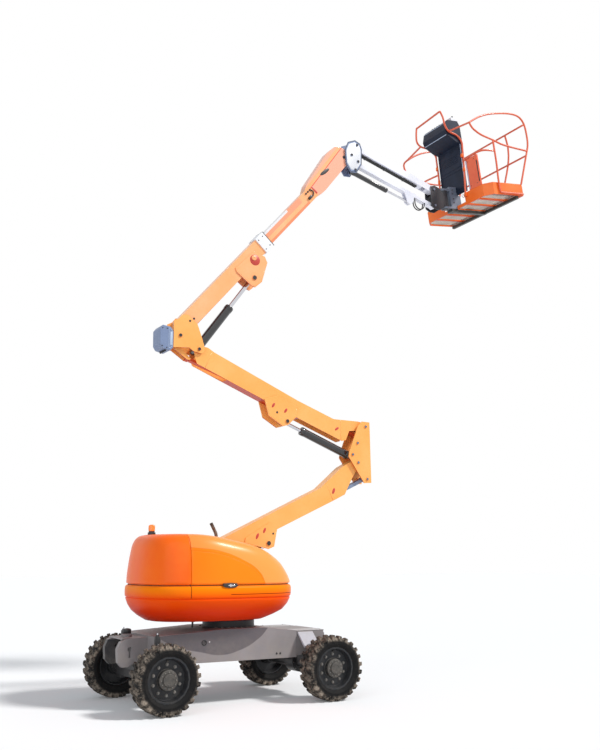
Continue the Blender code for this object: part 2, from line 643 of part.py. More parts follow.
def risers():
    run = Boom(ARM_1_FOOT, ARM_1_TOP)
    tools = [("-", plate(run.outline(ARM_1_HOLLOW), WALL - ARM_HALF, ARM_HALF - WALL))]
    for low, high in both_sides(ARM_HALF - WALL / 2, BRACKET_OUT):
        tools.append(("+", plate(ARM_1_BRACKET, low, high)))
    tools += bosses([CYLINDERS["arm_1"][1]], BRACKET_OUT - BITE, BRACKET_OUT + PIN_HEAD, 0.04)
    tools += bosses([ARM_1_FOOT], ARM_HALF - BITE, MAST_INNER - GAP, 0.055)
    tools += bosses([ARM_1_TOP], ARM_HALF - BITE, KNUCKLE_1_INNER - GAP, 0.055)
    arm = plate(run.outline(ARM_1_OUTLINE), -ARM_HALF, ARM_HALF)
    node("arm_1", "orange_paint", arm, tools, xz(ARM_1_FOOT))
    tie_bar("tie_1", TIE_1_FOOT, TIE_1_TOP, 0.028, TIE_1_HALF)

    tools = []
    for low, high in both_sides(KNUCKLE_1_INNER, KNUCKLE_1_OUTER):
        tools.append(("+", plate(KNUCKLE_1_SIDE, low, high)))
    tools += bosses(KNUCKLE_1_HEADS, KNUCKLE_1_OUTER - BITE, KNUCKLE_1_OUTER + PIN_HEAD, 0.026)
    tools += bosses([TIE_1_TOP], TIE_1_HALF + GAP, KNUCKLE_1_INNER + BITE, 0.03)
    tools += bosses([TIE_2_FOOT], TIE_2_HALF + GAP, KNUCKLE_1_INNER + BITE, 0.02)
    barrel = CYLINDERS["arm_2"]
    tools += bosses([barrel[0]], barrel[2] + EYE_OVER + GAP, KNUCKLE_1_INNER + BITE, 0.035)
    spine = box(2.635, 2.662, -KNUCKLE_1_INNER - BITE, KNUCKLE_1_INNER + BITE, 3.46, 4.12)
    node("knuckle_1", "orange_paint", spine, tools, xz(ARM_1_TOP))

    run = Boom(ARM_2_FOOT, ARM_2_TOP)
    tools = [("-", plate(run.outline(ARM_2_HOLLOW), WALL - ARM_HALF, ARM_HALF - WALL))]
    for low, high in both_sides(ARM_HALF - WALL / 2, BRACKET_OUT):
        tools.append(("+", plate(ARM_2_BRACKET, low, high)))
    tools += bosses([CYLINDERS["arm_2"][1]], BRACKET_OUT - BITE, BRACKET_OUT + PIN_HEAD, 0.035)
    tools += bosses([ARM_2_FOOT], ARM_HALF - BITE, KNUCKLE_1_INNER - GAP, 0.055)
    tools += bosses([ARM_2_TOP], ARM_HALF - BITE, KNUCKLE_2_INNER - GAP, 0.055)
    reach = CYLINDERS["boom"][2] + EYE_OVER + GAP
    tools += bosses([ARM_2_TOP], reach, ARM_HALF - BITE, 0.04)
    arm = plate(ARM_2_OUTLINE, -ARM_HALF, ARM_HALF)
    node("arm_2", "orange_paint", arm, tools, xz(ARM_2_FOOT))
    tie_bar("tie_2", TIE_2_FOOT, TIE_2_TOP, 0.022, TIE_2_HALF)

    tools = []
    for low, high in both_sides(KNUCKLE_2_INNER, KNUCKLE_2_OUTER):
        tools.append(("+", plate(KNUCKLE_2_SIDE, low, high)))
    tools += bosses(KNUCKLE_2_HEADS, KNUCKLE_2_OUTER - BITE, KNUCKLE_2_OUTER + PIN_HEAD, 0.03)
    spine = box(-0.985, -0.965, -KNUCKLE_2_INNER - BITE, KNUCKLE_2_INNER + BITE, 5.20, 5.36)
    for low, high in both_sides(TIE_2_HALF + GAP, TIE_2_HALF + 0.022):
        tools.append(("+", plate(TIE_2_LUG, low, high)))
    node("knuckle_2", "orange_paint", spine, tools, xz(ARM_2_TOP))
    node("end_box", "box_paint", plate(END_BOX_SIDE, -0.15, 0.15))


# Telescopic boom

BOOM_OUTLINE = [
    (-0.078, 0.0), (-0.055, -0.060), (0.16, -0.189), (2.22, -0.189), (2.22, 0.077),
    (0.08, 0.077), (-0.01, 0.078), (-0.060, 0.052),
]
BOOM_HOLLOW = [(0.20, -0.181), (2.5, -0.181), (2.5, 0.069), (0.20, 0.069)]
BOOM_BRACKET = [
    (0.07, 6.65), (0.10, 6.58), (0.36, 6.40), (0.44, 6.38), (0.56, 6.49), (0.66, 6.84),
    (0.61, 6.94), (0.40, 6.98),
]
EXTENSION_OUTLINE = [
    (1.36, -0.166), (3.68, -0.166), (3.80, -0.225), (4.62, -0.353), (4.86, -0.336),
    (4.95, -0.25), (5.045, -0.075), (5.07, -0.02), (5.045, 0.035), (4.99, 0.045),
    (4.66, 0.0526), (4.05, 0.086), (3.93, 0.078), (3.88, 0.054), (1.36, 0.054),
]
EXTENSION_HOLLOW = [(1.0, -0.157), (3.55, -0.157), (3.55, 0.045), (1.0, 0.045)]
EXTENSION_HALF = 0.085
COLLAR_OUTER = [(2.2203, -0.207), (2.42, -0.207), (2.42, 0.095), (2.2203, 0.095)]
COLLAR_INNER = [(2.1, -0.1663), (2.6, -0.1663), (2.6, 0.0543), (2.1, 0.0543)]


def telescope():
    run = Boom(BOOM_FOOT, (BOOM_FOOT[0] + 0.652, BOOM_FOOT[1] + 0.758))
    tools = [("-", plate(run.outline(BOOM_HOLLOW), WALL - ARM_HALF, ARM_HALF - WALL))]
    for low, high in both_sides(ARM_HALF - WALL / 2, BRACKET_OUT):
        tools.append(("+", plate(BOOM_BRACKET, low, high)))
    tools += bosses([CYLINDERS["boom"][1]], BRACKET_OUT - BITE, BRACKET_OUT + PIN_HEAD, 0.043)
    tools += bosses([BOOM_FOOT], ARM_HALF - BITE, KNUCKLE_2_INNER - GAP, 0.055)
    boom = plate(run.outline(BOOM_OUTLINE), -ARM_HALF, ARM_HALF)
    node("main_boom", "orange_paint", boom, tools, xz(BOOM_FOOT))

    collar = plate(run.outline(COLLAR_OUTER), -0.118, 0.118)
    inner = plate(run.outline(COLLAR_INNER), -EXTENSION_HALF - GAP, EXTENSION_HALF + GAP)
    node("boom_collar", "white_paint", collar, [("-", inner)])

    inner = plate(run.outline(EXTENSION_HOLLOW), WALL - EXTENSION_HALF, EXTENSION_HALF - WALL)
    tube = plate(run.outline(EXTENSION_OUTLINE), -EXTENSION_HALF, EXTENSION_HALF)
    node("boom_extension", "orange_paint", tube, [("-", inner)], run.spot(2.42, -0.056)[:1] + (
        0.0, run.spot(2.42, -0.056)[1]))


# Lift cylinders: a barrel hinged at its foot and a rod that ends in an eye

ROD_SHARE = 0.55
BORE_GAP = 0.0004
BRACKET_INNER = ARM_HALF - WALL / 2
LINK_SLOT = 0.030


def cylinders():
    for name, (foot, eye, barrel_radius, rod_radius, barrel_long) in CYLINDERS.items():
        run = Boom(foot, eye)
        long = (Vector(eye) - Vector(foot)).length
        mouth = barrel_long
        tools = [
            ("+", disc(xz(foot), barrel_radius * 0.82, barrel_radius + EYE_OVER)),
            ("-", bar([xz(run.spot(0.12, 0)), xz(run.spot(mouth + 0.1, 0))], rod_radius + BORE_GAP)),
        ]
        barrel = bar([xz(foot), xz(run.spot(mouth, 0))], barrel_radius)
        node("cylinder_barrel_" + name, "black_steel", barrel, tools, xz(foot))
        start = mouth - ROD_SHARE * (mouth - 0.14)
        rod = bar([xz(run.spot(start, 0)), xz(eye)], rod_radius)
        eye_half = LINK_SLOT - GAP if name == "jib" else BRACKET_INNER - GAP
        tools = [("+", disc(xz(eye), rod_radius + 0.014, eye_half))]
        node("cylinder_rod_" + name, "bright_rod", rod, tools, xz(run.spot(mouth, 0)))


# Jib and the head that carries the platform

JIB_BASE_SIDE = [
    (2.24, 9.28), (2.31, 9.44), (2.46, 9.51), (2.57, 9.47), (2.61, 9.36), (2.60, 9.06),
    (2.49, 8.88), (2.36, 8.865), (2.26, 9.00),
]
JIB_BASE_INNER = 0.098
JIB_BASE_OUTER = 0.116
JIB_HALF = 0.07
LINK_HALF = 0.05
JIB_OUTLINE = [
    (-0.05, -0.045), (0.0, -0.075), (1.80, -0.068), (1.90, -0.045), (1.91, 0.03), (1.855, 0.06),
    (0.0, 0.065), (-0.055, 0.03),
]
JIB_HOLLOW = [(0.14, -0.061), (1.70, -0.056), (1.70, 0.20), (1.62, 0.20), (1.60, 0.052), (0.14, 0.055)]
LINK_BRACKET = [(3.60, 8.85), (3.69, 8.60), (3.75, 8.57), (3.81, 8.60), (3.88, 8.78)]
HEAD_SIDE = [
    (4.225, 9.02), (4.32, 9.055), (4.44, 9.02), (4.54, 8.93), (4.55, 8.66), (4.44, 8.58),
    (4.32, 8.575), (4.235, 8.62),
]
HEAD_INNER = 0.080
HEAD_OUTER = 0.095
PLATFORM_TILT = math.radians(-9.0)
PLATFORM = Matrix.Translation((4.91, 0.0, 8.71)) @ Matrix.Rotation(PLATFORM_TILT, 4, "Y")
TURN_U = -0.27


def jib():
    tools = []
    for low, high in both_sides(JIB_BASE_INNER, JIB_BASE_OUTER):
        tools.append(("+", plate(JIB_BASE_SIDE, low, high)))
    heads = [JIB_FOOT, LINK_FOOT, LEVEL_PIN, CYLINDERS["jib"][0]]
    tools += bosses(heads, JIB_BASE_OUTER - BITE, JIB_BASE_OUTER + PIN_HEAD, 0.028)
    barrel = CYLINDERS["jib"]
    tools += bosses([barrel[0]], barrel[2] + EYE_OVER + GAP, JIB_BASE_INNER + BITE, 0.03)
    tools += bosses([LINK_FOOT], LINK_HALF + GAP, JIB_BASE_INNER + BITE, 0.028)
    tools += bosses([LEVEL_PIN], EXTENSION_HALF + GAP, JIB_BASE_INNER + BITE, 0.03)
    cross = disc((2.475, 0.0, 9.265), 0.022, JIB_BASE_INNER + BITE)
    node("jib_base", "box_paint", cross, tools, xz(LEVEL_PIN))

    run = Boom(JIB_FOOT, JIB_TOP)
    hollow = plate(run.outline(JIB_HOLLOW), 0.008 - JIB_HALF, JIB_HALF - 0.008)
    tools = [("-", hollow)] + bosses([JIB_FOOT], JIB_HALF - BITE, JIB_BASE_INNER - GAP, 0.04)
    tube = plate(run.outline(JIB_OUTLINE), -JIB_HALF, JIB_HALF)
    node("jib", "white_paint", tube, tools, xz(JIB_FOOT))

    run = Boom(LINK_FOOT, LINK_TOP)
    long = (Vector(LINK_TOP) - Vector(LINK_FOOT)).length
    link = plate(run.outline([(0, -0.036), (long, -0.036), (long, 0.036), (0, 0.036)]),
                 -LINK_HALF, LINK_HALF)
    tools = [("+", disc(xz(spot), 0.046, LINK_HALF)) for spot in (LINK_FOOT, LINK_TOP)]
    for low, high in both_sides(LINK_SLOT, LINK_HALF):
        tools.append(("+", plate(LINK_BRACKET, low, high)))
    node("jib_link", "white_paint", link, tools, xz(LINK_FOOT))

    block = box(4.46, 4.58, -HEAD_OUTER, HEAD_OUTER, 8.70, 8.90)
    tools = [("+", plate(HEAD_SIDE, low, high)) for low, high in both_sides(HEAD_INNER, HEAD_OUTER)]
    tools += bosses([JIB_TOP, LINK_TOP], HEAD_OUTER - BITE, HEAD_OUTER + PIN_HEAD, 0.028)
    tools += bosses([LINK_TOP], LINK_HALF + GAP, HEAD_INNER + BITE, 0.03)
    tools += bosses([JIB_TOP], JIB_HALF + GAP, HEAD_INNER + BITE, 0.03)
    tools.append(("+", disc((TURN_U, 0.0, 0.20), 0.085, 0.16 - GAP, "Z", FINE_SIDES, PLATFORM)))
    node("jib_head", "black_steel", block, tools, xz(JIB_TOP))


# Platform, in its own tilted frame: u runs away from the machine, y across, h up from the floor

FLOOR_DEEP = 0.90
FLOOR_HALF = 0.95
TOE_HIGH = 0.23
TOE_WALL = 0.016
CORNER = 0.14
RAIL = 0.018
END_SIDE = FLOOR_HALF + RAIL + 0.002
HOOP = [
    (-0.21, 1.375), (0.03, 1.50), (0.29, 1.59), (0.60, 1.645), (0.93, 1.67), (1.14, 1.63),
    (1.25, 1.50), (1.277, 1.27), (1.257, 1.06), (1.165, 0.84), (0.892, TOE_HIGH + 0.010),
]
END_RAILS = {
    -1: [(-0.21, 1.375), (-0.18, 1.31), (-0.12, 1.245), (0.05, 1.155), (0.33, 1.08), (0.61, 1.00),
         (1.21, 0.935)],
    1: [(-0.21, 1.375), (-0.29, 1.31), (-0.31, 1.22), (-0.255, 1.10), (-0.03, 0.985), (0.33, 0.91),
        (1.19, 0.90)],
}
FRONT_POST = [(1.22, 1.47), (1.25, 1.20), (1.17, 0.84), (0.893, TOE_HIGH + 0.010)]
FRONT_POST_SIDE = 0.45
REAR_POSTS = {
    -1: [(-0.008, TOE_HIGH + GAP), (-0.008, 0.28), (0.05, 0.70), (0.095, 1.12), (0.10, 1.27), (0.0, 1.39), (-0.19, 1.455),
         (-0.265, 1.57), (-0.285, 1.72), (-0.335, 1.845)],
    1: [(-0.008, TOE_HIGH + GAP), (-0.008, 0.28), (0.03, 0.70), (0.045, 1.12), (0.035, 1.27), (-0.12, 1.385),
        (-0.31, 1.425), (-0.39, 1.51), (-0.38, 1.66), (-0.345, 1.80)],
}
REAR_POST_SIDE = 0.36
MID_HIGH = 0.862


def ring_plan(inset):
    rear, front, side = inset, FLOOR_DEEP - inset, FLOOR_HALF - inset
    return [
        (rear, CORNER - side), (rear + CORNER, -side), (front, -side), (front, side),
        (rear + CORNER, side), (rear, side - CORNER),
    ]


def at_side(points, side):
    return [(u, side, h) for u, h in points]


def platform_floor():
    rim = slab(ring_plan(0.0), 0.0, TOE_HIGH, PLATFORM)
    tools = [
        ("-", slab(ring_plan(TOE_WALL), -0.1, TOE_HIGH + 0.1, PLATFORM)),
        ("-", box(-0.1, 0.1, -0.31, 0.31, 0.06, TOE_HIGH + 0.1, PLATFORM)),
    ]
    for y in (-0.62, -0.31, 0.0, 0.31, 0.62):
        tools.append(("+", box(TOE_WALL / 2, FLOOR_DEEP - TOE_WALL / 2, y - 0.022, y + 0.022,
                               0.004, 0.032, PLATFORM)))
    tools.append(("+", box(FLOOR_DEEP - 0.06, FLOOR_DEEP - TOE_WALL / 3, -0.943, 0.943, 0.002, 0.029,
                           PLATFORM)))
    node("platform_floor", "rail_paint", rim, tools)
    mesh = slab(ring_plan(TOE_WALL + GAP), 0.032 + GAP, 0.045, PLATFORM)
    node("floor_grating", "galvanised", mesh)


def platform_support():
    post = box(-0.15, -0.006, -0.075, 0.075, -0.055, 0.44, PLATFORM)
    tools = [
        ("+", box(-0.10, 0.027, -0.075, 0.075, 0.065, 0.44, PLATFORM)),
        ("+", box(-0.10, 0.11, -0.075, 0.075, 0.065, 0.27, PLATFORM)),
    ]
    for low, high in ((0.36, 0.40), (0.0, 0.04)):
        tools.append(("+", box(TURN_U, -0.02, -0.075, 0.075, low, high, PLATFORM)))
        tools.append(("+", disc((TURN_U, 0.0, (low + high) / 2), 0.08, (high - low) / 2, "Z",
                                FINE_SIDES, PLATFORM)))
    tools.append(("+", box(-0.10, 0.78, -0.04, 0.04, -0.06, -GAP, PLATFORM)))
    tools.append(("+", box(0.72, 0.78, -0.93, 0.93, -0.055, -GAP, PLATFORM)))
    pivot = PLATFORM @ Vector((TURN_U, 0.0, 0.20))
    node("platform_support", "black_steel", post, tools, tuple(pivot))


def platform_rails():
    runs = []
    for side in (-1, 1):
        runs.append(at_side(HOOP, side * FLOOR_HALF))
        end = END_RAILS[side]
        runs.append(at_side(end, side * FLOOR_HALF))
        corner = REAR_POSTS[side][6]
        runs.append([(end[0][0], side * FLOOR_HALF, end[0][1]),
                     (corner[0], side * REAR_POST_SIDE, corner[1])])
        runs.append(at_side(FRONT_POST, side * FRONT_POST_SIDE))
        runs.append([
            (0.33, side * FLOOR_HALF, 1.08 if side < 0 else 0.91), (0.28, side * END_SIDE, 0.30),
            (0.28, side * END_SIDE, 0.06), (0.34, side * END_SIDE, 0.03),
            (0.88, side * END_SIDE, 0.03),
        ])
        runs.append([(0.05, side * REAR_POST_SIDE, MID_HIGH), (0.0, side * 0.74, MID_HIGH),
                     (0.06, side * 0.92, MID_HIGH), (0.315, side * FLOOR_HALF, MID_HIGH)])
    loop = at_side(REAR_POSTS[-1], -REAR_POST_SIDE)
    loop += at_side(reversed(REAR_POSTS[1]), REAR_POST_SIDE)
    runs.append([(1.22, -FLOOR_HALF, 1.47), (1.22, FLOOR_HALF, 1.47)])
    runs.append([(1.17, -FLOOR_HALF, 0.84), (1.17, FLOOR_HALF, 0.84)])
    base = bar(loop, RAIL, PLATFORM)
    node("platform_rails", "rail_paint", base, [("+", bar(run, RAIL, PLATFORM)) for run in runs])


DESK_HIGH = 1.70


def console():
    half = REAR_POST_SIDE - RAIL - GAP
    panel = plate([(0.03, 0.28), (0.075, 0.28), (0.13, 1.26), (0.085, 1.26)], -half, half, PLATFORM)
    desk = [(0.085, 1.235), (-0.03, 1.27), (-0.235, 1.395), (-0.26, 1.49), (-0.205, 1.655),
            (-0.155, DESK_HIGH), (0.09, DESK_HIGH), (0.14, 1.60), (0.14, 1.235)]
    node("console", "navy_plastic", panel, [("+", plate(desk, -half, half, PLATFORM))])
    lever = bar([(0.10, -0.18, DESK_HIGH + 0.06), (0.135, -0.18, DESK_HIGH + 0.165)], 0.012, PLATFORM)
    case = box(-0.03, 0.14, -0.31, -0.06, DESK_HIGH + GAP, DESK_HIGH + 0.08, PLATFORM)
    node("control_box", "white_paint", case, [("+", lever)])
    panel = box(0.0, 0.03, -0.79, -0.47, TOE_HIGH + GAP, 0.835, PLATFORM)
    node("rear_panel", "rail_paint", panel)


chassis()
axles()
steering()
wheels()
turret()
turret_inside()
risers()
telescope()
cylinders()
jib()
platform_floor()
platform_support()
platform_rails()
console()
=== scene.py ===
import json
import math

import bmesh
import bpy
from mathutils import Matrix, Vector

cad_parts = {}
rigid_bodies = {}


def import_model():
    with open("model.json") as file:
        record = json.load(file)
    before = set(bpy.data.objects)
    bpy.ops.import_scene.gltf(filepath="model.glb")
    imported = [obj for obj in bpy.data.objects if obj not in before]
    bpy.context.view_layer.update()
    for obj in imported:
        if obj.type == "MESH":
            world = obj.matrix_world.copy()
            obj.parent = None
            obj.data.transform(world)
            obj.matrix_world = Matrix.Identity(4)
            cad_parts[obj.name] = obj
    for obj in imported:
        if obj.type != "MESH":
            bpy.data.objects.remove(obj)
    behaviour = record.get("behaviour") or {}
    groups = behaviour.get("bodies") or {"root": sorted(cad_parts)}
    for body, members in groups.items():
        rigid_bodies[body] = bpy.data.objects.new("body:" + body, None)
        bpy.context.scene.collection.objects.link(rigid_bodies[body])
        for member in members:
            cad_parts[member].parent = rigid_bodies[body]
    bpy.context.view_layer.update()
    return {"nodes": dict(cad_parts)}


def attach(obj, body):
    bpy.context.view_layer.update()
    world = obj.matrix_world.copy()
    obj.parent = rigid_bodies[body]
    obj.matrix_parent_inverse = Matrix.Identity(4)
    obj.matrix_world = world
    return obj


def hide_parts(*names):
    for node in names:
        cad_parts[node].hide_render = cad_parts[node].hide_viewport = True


for thing in list(bpy.data.objects):
    bpy.data.objects.remove(thing, do_unlink=True)

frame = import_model()
scene = bpy.context.scene


# Camera.
# The lift is seen from low down at its front left corner, looking up along the booms.
# The frame is upright, three parts wide to four parts high.

CAMERA_SPOT = (-6.05, -12.38, 2.01)
CAMERA_YAW = 30.9
CAMERA_PITCH = 11.82
CAMERA_LENS = 42.34

camera = bpy.data.objects.new("camera", bpy.data.cameras.new("camera"))
scene.collection.objects.link(camera)
camera.location = CAMERA_SPOT
camera.rotation_euler = (math.radians(90 + CAMERA_PITCH), 0.0, math.radians(-CAMERA_YAW))
camera.data.lens = CAMERA_LENS
camera.data.clip_end = 400.0
scene.camera = camera
scene.view_settings.view_transform = "Standard"


# Floor and light.
# A plain pale studio floor that keeps the soft shadow of the machine. One broad lamp stands high at
# the right, a very soft one fills from the front, and a faint even light comes from all round.

FLOOR_HALF_SIZE = 90.0
FLOOR_TONE = (0.85, 0.86, 0.88)
SHADOW_LIFT = 0.08
SKY_STRENGTH = 0.36
SKY_TONE = (0.90, 0.95, 1.0)
LAMPS = [
    # name, aim from (x, y, z), strength in W/m2, softness in degrees, tone
    ("sun_haze", (5.05, -4.79, 7.18), 2.80, 9.0, (1.0, 0.98, 0.95)),
    ("front_fill", (-5.5, -5.0, 3.0), 0.95, 60.0, (0.94, 0.97, 1.0)),
]

floor_mesh = bpy.data.meshes.new("floor")
corners = [(-1, -1), (1, -1), (1, 1), (-1, 1)]
floor_mesh.from_pydata([(x * FLOOR_HALF_SIZE, y * FLOOR_HALF_SIZE, -0.0005) for x, y in corners], [],
                       [(0, 1, 2, 3)])
floor = bpy.data.objects.new("floor", floor_mesh)
scene.collection.objects.link(floor)


def joined(tree, out, into):
    tree.links.new(out, into)


def set_node(tree, kind, settings=(), inputs=()):
    made = tree.nodes.new(kind)
    for field, value in dict(settings).items():
        setattr(made, field, value)
    for socket, value in dict(inputs).items():
        made.inputs[socket].default_value = value
    return made


def sum_of(tree, first, operation, second, clamp=False):
    """One Math node; each side is a socket or a number."""
    made = set_node(tree, "ShaderNodeMath", {"operation": operation, "use_clamp": clamp})
    for socket, value in zip(made.inputs, (first, second)):
        if isinstance(value, bpy.types.NodeSocket):
            joined(tree, value, socket)
        else:
            socket.default_value = value
    return made.outputs[0]


def seen_rays(tree, *kinds):
    """One for the named kinds of ray, nought for the light that falls on things."""
    path = set_node(tree, "ShaderNodeLightPath")
    share = path.outputs[kinds[0]]
    for kind in kinds[1:]:
        share = sum_of(tree, share, "MAXIMUM", path.outputs[kind])
    return share


def floor_finish():
    """A matt pale floor whose shadow is lifted a little where it is looked at."""
    made = bpy.data.materials.new("studio_floor")
    made.use_nodes = True
    tree = made.node_tree
    tree.nodes.remove(tree.nodes["Principled BSDF"])
    plain = set_node(tree, "ShaderNodeBsdfDiffuse", (), {"Color": (*FLOOR_TONE, 1.0)})
    glow = set_node(tree, "ShaderNodeEmission", (), {"Color": (1.0, 1.0, 1.0, 1.0), "Strength": SHADOW_LIFT})
    lifted = set_node(tree, "ShaderNodeAddShader")
    shown = set_node(tree, "ShaderNodeMixShader")
    joined(tree, plain.outputs[0], lifted.inputs[0])
    joined(tree, glow.outputs[0], lifted.inputs[1])
    joined(tree, seen_rays(tree, "Is Camera Ray", "Is Glossy Ray"), shown.inputs[0])
    joined(tree, plain.outputs[0], shown.inputs[1])
    joined(tree, lifted.outputs[0], shown.inputs[2])
    joined(tree, shown.outputs[0], tree.nodes["Material Output"].inputs["Surface"])
    return made


floor_mesh.materials.append(floor_finish())

world = bpy.data.worlds.new("haze")
world.use_nodes = True
scene.world = world
sky = world.node_tree
sky_light = sky.nodes["Background"]
sky_light.inputs["Color"].default_value = (*SKY_TONE, 1.0)
sky_light.inputs["Strength"].default_value = SKY_STRENGTH
sky_seen = set_node(sky, "ShaderNodeBackground", (), {"Color": (1.0, 1.0, 1.0, 1.0), "Strength": 1.0})
sky_mix = set_node(sky, "ShaderNodeMixShader")
joined(sky, seen_rays(sky, "Is Camera Ray", "Is Transmission Ray", "Is Glossy Ray"), sky_mix.inputs[0])
joined(sky, sky_light.outputs[0], sky_mix.inputs[1])
joined(sky, sky_seen.outputs[0], sky_mix.inputs[2])
joined(sky, sky_mix.outputs[0], sky.nodes["World Output"].inputs["Surface"])

for lamp_name, start, strength, softness, tone in LAMPS:
    lamp = bpy.data.objects.new(lamp_name, bpy.data.lights.new(lamp_name, "SUN"))
    lamp.data.energy = strength
    lamp.data.angle = math.radians(softness)
    lamp.data.color = tone
    lamp.rotation_euler = Vector(start).to_track_quat("Z", "Y").to_euler()
    scene.collection.objects.link(lamp)


# Tyres.
# Rough-terrain tyres of moulded black rubber: a round carcass with two rows of thick lugs that
# stand between each other. Dried clay sits in the grooves and on the shoulders of the lugs.

WHEELS = [
    ("front_near", -1.30, -1, "wheel_front_near"),
    ("front_far", -1.30, 1, "wheel_front_far"),
    ("rear_near", 1.30, -1, "wheel_rear_near"),
    ("rear_far", 1.30, 1, "wheel_rear_far"),
]
HUB_HIGH = 0.46
WHEEL_SIDE = 0.98
TREAD = 0.460
CARCASS = [
    # radius, distance from the wheel's middle
    (0.434, 0.000), (0.434, 0.060), (0.430, 0.110), (0.418, 0.142), (0.398, 0.158), (0.376, 0.165),
    (0.372, 0.1655), (0.370, 0.162), (0.352, 0.163), (0.350, 0.166), (0.345, 0.165), (0.330, 0.156),
    (0.314, 0.144), (0.303, 0.136), (0.296, 0.128), (0.288, 0.122), (0.286, 0.110),
]
CARCASS_STEPS = 96
LUG_COUNT = 24
LUG_LEAN = math.radians(6.0)
LUG_REACH = 0.16
LUG_ROUND = 0.007
RIB_COUNT = 72
RIB = [(0.334, 0.1592), (0.344, 0.1677), (0.366, 0.1677), (0.374, 0.1652)]
RIB_HALF = 0.0028
RUBBER_TONE = (0.007, 0.007, 0.0075)
CLAY_TONE = (0.380, 0.315, 0.255)


def new_group(name, inputs, outputs):
    group = bpy.data.node_groups.new(name, "ShaderNodeTree")
    for label, kind, value in inputs:
        socket = group.interface.new_socket(label, in_out="INPUT", socket_type="NodeSocket" + kind)
        socket.default_value = value
    for label, kind in outputs:
        group.interface.new_socket(label, in_out="OUTPUT", socket_type="NodeSocket" + kind)
    return group, group.nodes.new("NodeGroupInput"), group.nodes.new("NodeGroupOutput")


def times(tree, first, second):
    return sum_of(tree, first, "MULTIPLY", second)


def blended(tree, share, first, second):
    """A colour between two others; each is a socket or a tone."""
    made = set_node(tree, "ShaderNodeMix", {"data_type": "RGBA"})
    joined(tree, share, made.inputs[0])
    for socket, value in ((made.inputs[6], first), (made.inputs[7], second)):
        if isinstance(value, bpy.types.NodeSocket):
            joined(tree, value, socket)
        else:
            socket.default_value = (*value, 1.0)
    return made.outputs[2]


def cloud(tree, where, scale, detail=4.0, roughness=0.6):
    """Soft noise, from nought to one."""
    made = set_node(tree, "ShaderNodeTexNoise", (),
                    {"Scale": scale, "Detail": detail, "Roughness": roughness})
    joined(tree, where, made.inputs["Vector"])
    return made.outputs[0]


def stepped(tree, value, low, high):
    """Rises smoothly from nought at the low value to one at the high one."""
    made = set_node(tree, "ShaderNodeMapRange", {"interpolation_type": "SMOOTHSTEP"},
                    {"From Min": low, "From Max": high})
    joined(tree, value, made.inputs[0])
    return made.outputs[0]


def build_dust_group():
    """Dust that settles on what faces up and low down, broken up by clouds."""
    group, given, result = new_group(
        "settled_dust",
        [("Amount", "Float", 0.4), ("Low", "Float", 0.2), ("High", "Float", 1.4), ("Scale", "Float", 6.0)],
        [("Mask", "Float"), ("Fine", "Float")])
    spot = set_node(group, "ShaderNodeTexCoord").outputs["Object"]
    split = set_node(group, "ShaderNodeSeparateXYZ")
    joined(group, spot, split.inputs[0])
    facing = set_node(group, "ShaderNodeSeparateXYZ")
    joined(group, set_node(group, "ShaderNodeNewGeometry").outputs["Normal"], facing.inputs[0])
    broad = set_node(group, "ShaderNodeTexNoise", (), {"Detail": 6.0, "Roughness": 0.65})
    joined(group, spot, broad.inputs["Vector"])
    joined(group, given.outputs["Scale"], broad.inputs["Scale"])
    fine = cloud(group, spot, 85.0, 3.0)
    height = set_node(group, "ShaderNodeMapRange", {"interpolation_type": "SMOOTHSTEP"},
                      {"To Min": 1.0, "To Max": 0.0})
    joined(group, split.outputs[2], height.inputs[0])
    joined(group, given.outputs["Low"], height.inputs["From Min"])
    joined(group, given.outputs["High"], height.inputs["From Max"])
    up = stepped(group, facing.outputs[2], 0.25, 1.0)
    places = sum_of(group, times(group, up, 0.55), "ADD", height.outputs[0], True)
    noise = sum_of(group, times(group, broad.outputs[0], 0.75), "ADD", times(group, fine, 0.35))
    broken = stepped(group, noise, 0.36, 0.78)
    mask = sum_of(group, times(group, places, broken), "MULTIPLY", given.outputs["Amount"], True)
    joined(group, mask, result.inputs["Mask"])
    joined(group, fine, result.inputs["Fine"])
    return group


DUST = build_dust_group()


def placed(tree, group, inputs=()):
    """A node that runs the group with these values."""
    made = set_node(tree, "ShaderNodeGroup", {"node_tree": group})
    for socket, value in dict(inputs).items():
        made.inputs[socket].default_value = (*value, 1.0) if isinstance(value, tuple) else value
    return made


def shader_of(name, roughness, metallic=0.0, coat=0.0):
    made = bpy.data.materials.new(name)
    made.use_nodes = True
    shader = made.node_tree.nodes["Principled BSDF"]
    shader.inputs["Roughness"].default_value = roughness
    shader.inputs["Metallic"].default_value = metallic
    shader.inputs["Coat Weight"].default_value = coat
    shader.inputs["Coat Roughness"].default_value = 0.12
    return made, made.node_tree, shader


def bumped(tree, shader, height, strength, distance):
    bump = set_node(tree, "ShaderNodeBump", (), {"Strength": strength, "Distance": distance})
    joined(tree, height, bump.inputs["Height"])
    joined(tree, bump.outputs[0], shader.inputs["Normal"])


